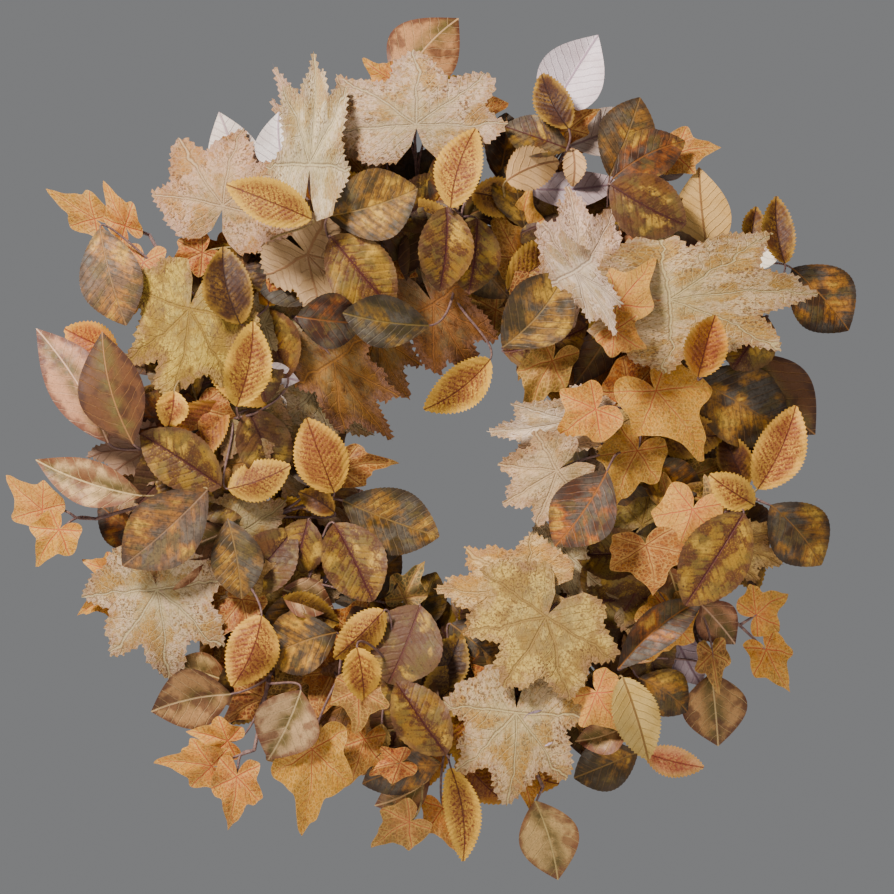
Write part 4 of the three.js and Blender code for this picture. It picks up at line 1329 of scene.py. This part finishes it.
def magnolia_face():
    s = LeafShader("magnolia_face", roughness=0.55, specular=0.28)
    streak = s.noise(s.stretched(0.11, 0.03), 1.0, 5.0, 0.62)
    cloud = s.noise(s.place, 0.036, 4.0, 0.55)
    mixed = s.add(s.times(streak, 0.36), s.times(cloud, 0.72))
    grey = s.mix(s.times(s.patches(0.05, 0.45, 0.58), 0.65), s.main, SLATE_INK)
    grey = s.mix(s.times(s.patches(0.07, 0.5, 0.6), 0.6), grey, OLIVE_INK)
    colour = s.mix(s.times(s.step(mixed, 0.5, 0.6), 0.85), grey, s.second)
    colour = s.mix(s.times(s.step(mixed, 0.58, 0.66), 0.7), colour, GOLD_INK)
    colour = s.mix(s.times(s.patches(0.4, 0.5, 0.62, 4.0), 0.5), colour, DARK_INK)
    fine = s.side_veins(6.5, 0.8, 0.8)
    shadow = s.times(s.side_veins(6.5, 0.8, 2.6, 0.8), s.patches(0.12, 0.35, 0.6))
    colour = s.mix(s.times(shadow, 0.35), colour, DARK_INK)
    colour = s.mix(s.times(fine, 0.3), colour, s.vein)
    margin = s.step(s.add(s.edge, s.times(s.noise(s.place, 0.11, 4.0), -13.0)), -6.0, -0.5, 1.0, 0.0)
    colour = s.mix(s.times(margin, 0.6), colour, DARK_INK)
    colour = s.mix(s.times(s.midrib(0.9), 0.8), colour, s.vein)
    colour = s.tint(colour, 0.18, 0.7)
    grooves = s.math("MAXIMUM", s.times(fine, 0.6), s.midrib(0.9))
    height = s.add(s.times(s.cloth(), 0.25), s.times(grooves, -0.8))
    return s.finish(colour, height, 0.65, 0.0006, s.step(s.noise(s.place, 0.25), 0.3, 0.7, 0.46, 0.66))


def laurel_face():
    s = LeafShader("laurel_face", roughness=0.58)
    lines = s.side_veins(8.5, 0.9, 0.65)
    margin = s.step(s.add(s.edge, s.times(s.noise(s.place, 0.12, 4.0), -15.0)), -7.5, -1.5, 1.0, 0.0)
    beside = s.step(s.aside, 2.0, 13.0, 1.0, 0.0)
    colour = s.mix(s.times(beside, s.patches(0.08, 0.3, 0.6)), s.main, OLIVE_INK)
    colour = s.mix(s.times(margin, 0.85), colour, s.second)
    colour = s.mix(s.times(s.patches(0.05, 0.54, 0.64), 0.7), colour, s.second)
    colour = s.mix(s.times(s.patches(0.9, 0.56, 0.68, 2.0), 0.35), colour, DARK_INK)
    colour = s.mix(s.times(s.math("MAXIMUM", s.times(lines, 0.6), s.midrib(1.0)), 0.8), colour, s.vein)
    colour = s.tint(colour, 0.16, 0.7)
    height = s.add(s.times(s.cloth(), 0.2), s.times(s.math("MAXIMUM", lines, s.midrib(1.0)), -0.9))
    return s.finish(colour, height, 0.7, 0.0007, s.step(s.noise(s.place, 0.3), 0.3, 0.7, 0.44, 0.64))


def ivy_face():
    s = LeafShader("ivy_face", LOBE_ANGLE["ivy"], roughness=0.64)
    cloud = s.patches(0.06, 0.36, 0.6)
    stipple = s.patches(0.7, 0.42, 0.58, 3.0)
    colour = s.mix(s.times(stipple, s.add(s.times(cloud, 0.5), 0.45)), s.main, s.second)
    colour = s.mix(s.times(s.patches(0.5, 0.52, 0.64, 3.0), 0.3), colour, BROWN_INK)
    net = s.step(s.cells(s.place, 0.33, "DISTANCE_TO_EDGE"), 0.02, 0.16, 1.0, 0.0)
    colour = s.mix(s.times(s.times(net, s.patches(0.11, 0.3, 0.55)), 0.5), colour, GLOW_INK)
    blush = s.times(s.step(s.reach, 2.0, 22.0, 1.0, 0.0), s.patches(0.12, 0.3, 0.6))
    colour = s.mix(s.times(blush, 0.4), colour, s.vein)
    halo = s.times(s.step(s.aside, 0.6, 2.6, 1.0, 0.0), s.step(s.reach, 20.0, 44.0, 0.5, 0.0))
    colour = s.mix(halo, colour, GLOW_INK)
    rib = s.times(s.midrib(0.6), s.step(s.reach, 14.0, 40.0, 1.0, 0.3))
    side = s.times(s.side_veins(6.0, 0.9, 0.5), s.step(s.aside, 3.0, 13.0, 0.7, 0.1))
    colour = s.mix(s.times(s.math("MAXIMUM", rib, side), 0.8), colour, s.vein)
    colour = s.mix(s.step(s.edge, 0.1, 0.9, 0.3, 0.0), colour, GLOW_INK)
    colour = s.tint(colour, 0.16, 0.8)
    height = s.add(s.times(s.cloth(), 0.25), s.times(s.math("MAXIMUM", rib, side), -0.8))
    return s.finish(colour, height, 0.65, 0.0007, s.step(s.noise(s.place, 0.3), 0.3, 0.7, 0.54, 0.72))


def under_side(name, lobe_angle=None):
    s = LeafShader(name, lobe_angle, roughness=0.8, specular=0.2)
    lines = s.side_veins(7.0, 0.85, 0.8)
    rib = s.midrib(1.2)
    colour = s.mix(s.times(s.patches(0.06, 0.4, 0.65), 0.7), s.main, s.second)
    colour = s.mix(s.times(lines, 0.25), colour, s.vein)
    colour = s.mix(s.times(rib, 0.75), colour, s.vein)
    colour = s.mix(s.step(s.edge, 0.0, 2.2, 0.3, 0.0), colour, s.second)
    colour = s.tint(colour, 0.12, 0.8)
    height = s.add(s.times(s.cloth(), 0.35), s.times(s.math("MAXIMUM", lines, rib), 0.9))
    return s.finish(colour, height, 0.7, 0.0007, s.step(s.noise(s.place, 0.4), 0.3, 0.7, 0.72, 0.88))


def coated_wire():
    s = LeafShader("coated_wire", roughness=0.5, specular=0.35)
    colour = s.mix(s.patches(0.25, 0.4, 0.65, 4.0), s.main, s.second)
    colour = s.mix(s.times(s.patches(1.8, 0.55, 0.68), 0.6), colour, s.vein)
    colour = s.tint(colour, 0.2, 0.6)
    height = s.add(s.noise(s.place, 1.6, 3.0), s.times(s.patches(0.4, 0.5, 0.7), 0.6))
    return s.finish(colour, height, 0.6, 0.0008, s.step(s.noise(s.place, 0.5), 0.3, 0.7, 0.4, 0.62))


def bark(name, fibre, roughness):
    s = LeafShader(name, roughness=roughness, specular=0.15)
    along, around, deep = s.split(s.place)
    grain_place = s.join(s.times(along, 0.05), around, deep)
    grain = s.noise(grain_place, fibre, 6.0, 0.65)
    coarse = s.noise(s.join(s.times(along, 0.018), around, deep), fibre * 0.35, 3.0)
    colour = s.mix(s.step(grain, 0.36, 0.66), s.second, s.main)
    colour = s.mix(s.times(s.step(coarse, 0.5, 0.68), 0.55), colour, s.vein)
    cracks = s.step(grain, 0.3, 0.42, 1.0, 0.0)
    colour = s.mix(s.times(cracks, 0.75), colour, (0.03, 0.018, 0.012, 1))
    colour = s.tint(colour, 0.2, 0.25)
    height = s.add(s.times(grain, 1.0), s.times(cracks, -0.8))
    return s.finish(colour, height, 0.9, 0.0012, s.step(grain, 0.3, 0.7, roughness + 0.1, roughness - 0.12))


def hanger_metal():
    s = LeafShader("hanger_metal", roughness=0.4, specular=0.5)
    s.surface.inputs["Metallic"].default_value = 0.85
    along, around, deep = s.split(s.place)
    drawn = s.noise(s.join(s.times(along, 0.04), around, deep), 3.0, 4.0)
    rust = s.patches(0.16, 0.58, 0.7, 5.0)
    colour = s.mix(s.step(drawn, 0.3, 0.7), s.main, s.second)
    colour = s.mix(s.times(rust, 0.7), colour, s.vein)
    rough = s.add(s.step(drawn, 0.3, 0.7, 0.3, 0.45), s.times(rust, 0.35))
    return s.finish(colour, s.add(drawn, s.times(rust, 0.6)), 0.35, 0.0004, rough)


def floor_finish():
    s = Shader("studio_floor", roughness=0.85, specular=0.2)
    where = s.node("ShaderNodeTexCoord").outputs["Object"]
    cloud = s.step(s.noise(where, 1.2, 3.0), 0.3, 0.7)
    colour = s.mix(cloud, (0.74, 0.72, 0.69, 1), (0.78, 0.76, 0.73, 1))
    return s.finish(colour, s.noise(where, 260.0, 2.0), 0.1, 0.0003)


MATERIALS = {
    "grape_face": grape_face(),
    "elm_face": elm_face(),
    "rosy_face": rosy_face(),
    "magnolia_face": magnolia_face(),
    "laurel_face": laurel_face(),
    "ivy_face": ivy_face(),
    "under_oval": under_side("under_oval"),
    "under_lobed": under_side("under_lobed", 50),
    "coated_wire": coated_wire(),
    "vine_bark": bark("vine_bark", 1.1, 0.86),
    "tendril_bark": bark("tendril_bark", 1.6, 0.78),
    "hanger_metal": hanger_metal(),
}


# ---------------------------------------------------------------- vine base and hanger
def cane_path(start, offset, phase, twists, sweep, steps):
    """The centreline of a cane that winds round the ring."""
    along = start + sweep * np.linspace(0, 1, steps)
    around = phase + twists * along
    reach = offset + CANE_WOBBLE * np.sin(3 * along + phase)
    radius = RING_RADIUS + reach * np.cos(around)
    return np.stack([radius * np.cos(along), reach * np.sin(around), radius * np.sin(along)], axis=1)


def knotted(radius, count, seed):
    """A cane's thickness along its length: joints that swell, and a taper at both ends."""
    draw = random.Random(seed)
    place = np.linspace(0, 1, count)
    radii = radius * (0.93 + 0.05 * np.sin(place * 40 + draw.uniform(0, 6)))
    for _ in range(14):
        knot = draw.uniform(0.02, 0.98)
        radii += radius * draw.uniform(0.08, 0.22) * np.exp(-(((place - knot) / 0.004) ** 2))
    radii *= 1 - 0.25 * np.exp(-place / 0.006) - 0.25 * np.exp(-(1 - place) / 0.006)
    return radii


def ribbed(seed):
    """How a cane's section strays from round."""
    draw = random.Random(seed)
    a, b = draw.uniform(0, 6), draw.uniform(0, 6)

    def bumps(i, turns):
        return 1 + 0.06 * np.sin(3 * turns + a + i * 0.05) + 0.035 * np.sin(7 * turns + b - i * 0.03)

    return bumps


BARK_TONE = (0x7A5A44, 0x4A3427, 0x947258)
TENDRIL_TONE = (0x8E6C4C, 0x5E442E, 0xA8865E)
METAL_TONE = (0x8A8784, 0x6E6B68, 0x6A4030)


def make_cane(name, offset, radius, phase, twists, start):
    path = cane_path(start, offset, phase, twists, CANE_SWEEP, CANE_STEPS)
    piece = Piece()
    shade = random.Random(name).uniform(0.85, 1.15)
    radii = knotted(radius, CANE_STEPS, name)
    ribs = ribbed(name)
    add_tube(piece, path, radii, CANE_SIDES, "vine_bark", BARK_TONE, len(name), bumps=ribs, shade=shade)
    made = piece.build(name + "_bark")
    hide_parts(name)
    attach(made, "wreath")


def make_base():
    for i in range(CORE_CANES):
        phase = 2 * math.pi * i / CORE_CANES
        make_cane(f"vine_core_cane_{i + 1}", CORE_OFFSET, CORE_RADIUS, phase, CORE_TWISTS, 0.4 + phase)
    for i in range(OUTER_CANES):
        phase = math.pi / 2 - OUTER_TWISTS * math.pi / 2 + 2 * math.pi * i / OUTER_CANES
        make_cane(f"vine_outer_cane_{i + 1}", OUTER_OFFSET, OUTER_RADIUS, phase, OUTER_TWISTS, -0.9 + 1.3 * i)


def make_strands():
    """Thin shoots that run among the canes."""
    piece = Piece()
    draw = random.Random("strands")
    for i in range(STRANDS):
        phase = 2 * math.pi * i / STRANDS + 0.25
        twists = draw.choice((3, 4, 5))
        sweep = draw.uniform(1.6, 4.6)
        path = cane_path(draw.uniform(0, 6.3), draw.uniform(10.4, 18.5), phase, twists, sweep, STRAND_STEPS)
        radii = knotted(draw.uniform(1.0, 1.7), STRAND_STEPS, f"strand {i}")
        ribs = ribbed(f"strand {i}")
        shade = draw.uniform(0.8, 1.35)
        add_tube(piece, path, radii, 8, "vine_bark", BARK_TONE, 7 * i, bumps=ribs, shade=shade)
    made = piece.build("vine_strands")
    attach(made, "wreath")


def make_ties():
    for i, degrees in enumerate(TIE_ANGLES):
        turns = np.linspace(0, 1, TIE_STEPS)
        around = 2 * math.pi * TIE_TURNS * turns
        along = math.radians(degrees) + TIE_PITCH * TIE_TURNS * (turns - 0.5) / RING_RADIUS
        radius = RING_RADIUS + TIE_REACH * np.cos(around)
        path = np.stack([radius * np.cos(along), TIE_REACH * np.sin(around), radius * np.sin(along)], axis=1)
        piece = Piece()
        name = f"vine_tie_{i + 1}"
        radii = knotted(TIE_RADIUS, TIE_STEPS, name)
        add_tube(piece, path, radii, 10, "tendril_bark", TENDRIL_TONE, i * 11, bumps=ribbed(name))
        made = piece.build(name + "_tendril")
        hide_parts(name)
        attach(made, "wreath")


def make_hanger():
    """One wire: an eye round the rear cane, a quarter twist, and a loop for the door's hook."""
    rises = [
        (0, 0, -5.6), (0, 4.7, -3.8), (0, 6.4, 1), (1, 4.6, 7.5), (1.9, 0, 14), (4, 0, 22),
        (LOOP_HALF_WIDTH, 0, 33), (0, 0, LOOP_RISE), (-LOOP_HALF_WIDTH, 0, 33), (-4, 0, 22),
        (-1.9, 0, 14), (-1, -4.6, 7.5), (0, -6.4, 1), (0, -4.7, -3.8),
    ]
    route = [np.array([x, OUTER_OFFSET + y, RING_RADIUS + z], float) for x, y, z in rises]
    points = []
    for i in range(len(route)):
        a, b, c, d = (route[(i + k - 1) % len(route)] for k in range(4))
        points += [centripetal(a, b, c, d, t / 12) for t in range(12)]
    piece = Piece()
    points = np.array(points)
    add_tube(piece, points, np.full(len(points), WIRE_RADIUS), 14, "hanger_metal", METAL_TONE, 1, closed=True)
    made = piece.build("hanger_loop_wire")
    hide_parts("hanger_loop")
    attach(made, "hanger")


def centripetal(a, b, c, d, t):
    """A curve through b and c that doesn't overshoot where its points are close."""
    first = np.linalg.norm(b - a) ** 0.5
    middle = np.linalg.norm(c - b) ** 0.5
    last = np.linalg.norm(d - c) ** 0.5
    start = ((b - a) / first - (c - a) / (first + middle) + (c - b) / middle) * middle
    end = ((c - b) / middle - (d - b) / (middle + last) + (d - c) / last) * middle
    cubic = 2 * b - 2 * c + start + end
    square = -3 * b + 3 * c - 2 * start - end
    return cubic * t**3 + square * t**2 + start * t + b


# ---------------------------------------------------------------- assembly
def make_foliage():
    sprays = {
        name: [Leaf(row, f"{name} {i}", name in BESIDE_A_BEND) for i, row in enumerate(rows)]
        for name, rows in SPRAYS.items()
    }
    sprigs = {
        name: [Leaf(row, f"{name} {i}", name in BESIDE_A_BEND) for i, row in enumerate(sprig["leaves"])]
        for name, sprig in SPRIGS.items()
    }
    every = [leaf for leaves in [*sprays.values(), *sprigs.values()] for leaf in leaves]
    assign_levels(every)
    make_undergrowth(every)
    forks = {}
    for name, leaves in sprays.items():
        piece = Piece()
        for leaf in leaves:
            add_blade(piece, leaf)
        straw = random.Random(name + " wire").random() < 0.2
        forks[name] = add_spray_stems(piece, leaves, STRAW_TONE if straw else WIRE_TONE)
        finish_foliage(piece, name, "wreath")
    for name, leaves in sprigs.items():
        piece = Piece()
        for leaf in leaves:
            add_blade(piece, leaf)
        finish_foliage(piece, name, name)
        make_sprig_wire(name, SPRIGS[name], leaves, forks)


def make_undergrowth(every):
    for part, leaves in undergrowth(every).items():
        piece = Piece()
        for leaf in leaves:
            add_blade(piece, leaf)
            root = leaf.points(0, 0)
            seat = stem_seat(root[0], root[2])
            add_stem(piece, seat, (root - seat) / max(np.linalg.norm(root - seat), 1), leaf, WIRE_TONE)
        made = piece.build("undergrowth_" + part)
        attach(made, "wreath")


def finish_foliage(piece, node, body):
    made = piece.build(node + "_foliage")
    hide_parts(node)
    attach(made, body)
    node.split("_")[0] + "_leaf"


def make_sprig_wire(name, sprig, leaves, forks):
    """The wire from the carrying spray's fork to the sprig's leaves, which bends at one place."""
    _, fork = forks[sprig["spray"]]
    depth = float(np.mean([leaf.points(0, 0)[1] for leaf in leaves]))
    bend = np.array([sprig["bend"][0], depth, sprig["bend"][1]])
    piece = Piece()
    run = resample([fork, fork + (bend - fork) * 0.5, bend], 3)
    add_tube(piece, run, np.full(len(run), STEM_RADIUS), 8, "coated_wire", WIRE_TONE, 5)
    heading = (bend - fork) / np.linalg.norm(bend - fork)
    for leaf, via in zip(leaves, sprig["stems"]):
        rib = back_rib(leaf)
        stops = [bend - heading * 0.5] + [np.array([x, depth, z]) for x, z in via] + [rib[0]]
        path = resample(stops, 2.5)
        points = np.vstack([path, rib[1:]])
        radii = np.concatenate([
            np.linspace(STEM_RADIUS * 0.9, PETIOLE_RADIUS, len(path)),
            np.linspace(PETIOLE_RADIUS, 0.3, 7),
        ])
        add_tube(piece, points, radii, 8, "coated_wire", WIRE_TONE, 9)
    made = piece.build(name + "_wire")
    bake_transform(made)
    name.split("_")[0] + "_leaf"


# ---------------------------------------------------------------- studio
FRAME_WIDTH = 670.5  # mm across the picture, at the leaves
LEAF_PLANE = -62  # mm, where that width is measured
CAMERA_AWAY = 4000
FLOOR_HALF = 2.5  # m
FLOOR_GAP = 0.25  # m, from the lowest leaf down to the floor
CENTRE_ASIDE = 5.25  # the picture's centre from the ring's, mm
CENTRE_ABOVE = 9.75
SENSOR = 36


def make_camera():
    data = bpy.data.cameras.new("camera")
    data.sensor_width = SENSOR
    data.lens = SENSOR * CAMERA_AWAY / FRAME_WIDTH
    camera = bpy.data.objects.new("camera", data)
    bpy.context.scene.collection.objects.link(camera)
    place = RING_CENTRE + np.array([CENTRE_ASIDE, LEAF_PLANE - CAMERA_AWAY, CENTRE_ABOVE])
    camera.location = Vector(place * MM)
    camera.rotation_euler = (math.pi / 2, 0, 0)
    bpy.context.scene.camera = camera


def make_lamp(name, place, size, power, colour):
    data = bpy.data.lights.new(name, "AREA")
    data.shape = "DISK"
    data.size = size
    data.energy = power
    data.color = colour
    lamp = bpy.data.objects.new(name, data)
    bpy.context.scene.collection.objects.link(lamp)
    lamp.location = place
    target = Vector(RING_CENTRE * MM)
    lamp.rotation_euler = (target - Vector(place)).to_track_quat("-Z", "Y").to_euler()


def make_studio():
    make_lamp("key_light", (-1.5, -1.9, 1.9), 0.7, 208, (1.0, 0.96, 0.91))
    make_lamp("fill_light", (1.8, -1.8, 0.1), 1.6, 10, (0.94, 0.97, 1.0))
    make_lamp("back_light", (0.4, 2.2, 1.4), 1.6, 18, (1.0, 0.98, 0.95))
    world = bpy.data.worlds.new("studio")
    world.use_nodes = True
    world.node_tree.nodes["Background"].inputs["Color"].default_value = (0.82, 0.83, 0.85, 1)
    world.node_tree.nodes["Background"].inputs["Strength"].default_value = 0.25
    bpy.context.scene.world = world
    mesh = bpy.data.meshes.new("floor")
    half = FLOOR_HALF
    level = float(cad_low[2]) - FLOOR_GAP
    corners = [(-half, -half, level), (half, -half, level), (half, half, level), (-half, half, level)]
    mesh.from_pydata(corners, [], [(0, 1, 2, 3)])
    mesh.materials.append(floor_finish())
    floor = bpy.data.objects.new("floor", mesh)
    bpy.context.scene.collection.objects.link(floor)


make_camera()
make_studio()
make_base()
make_strands()
make_ties()
make_hanger()
make_foliage()
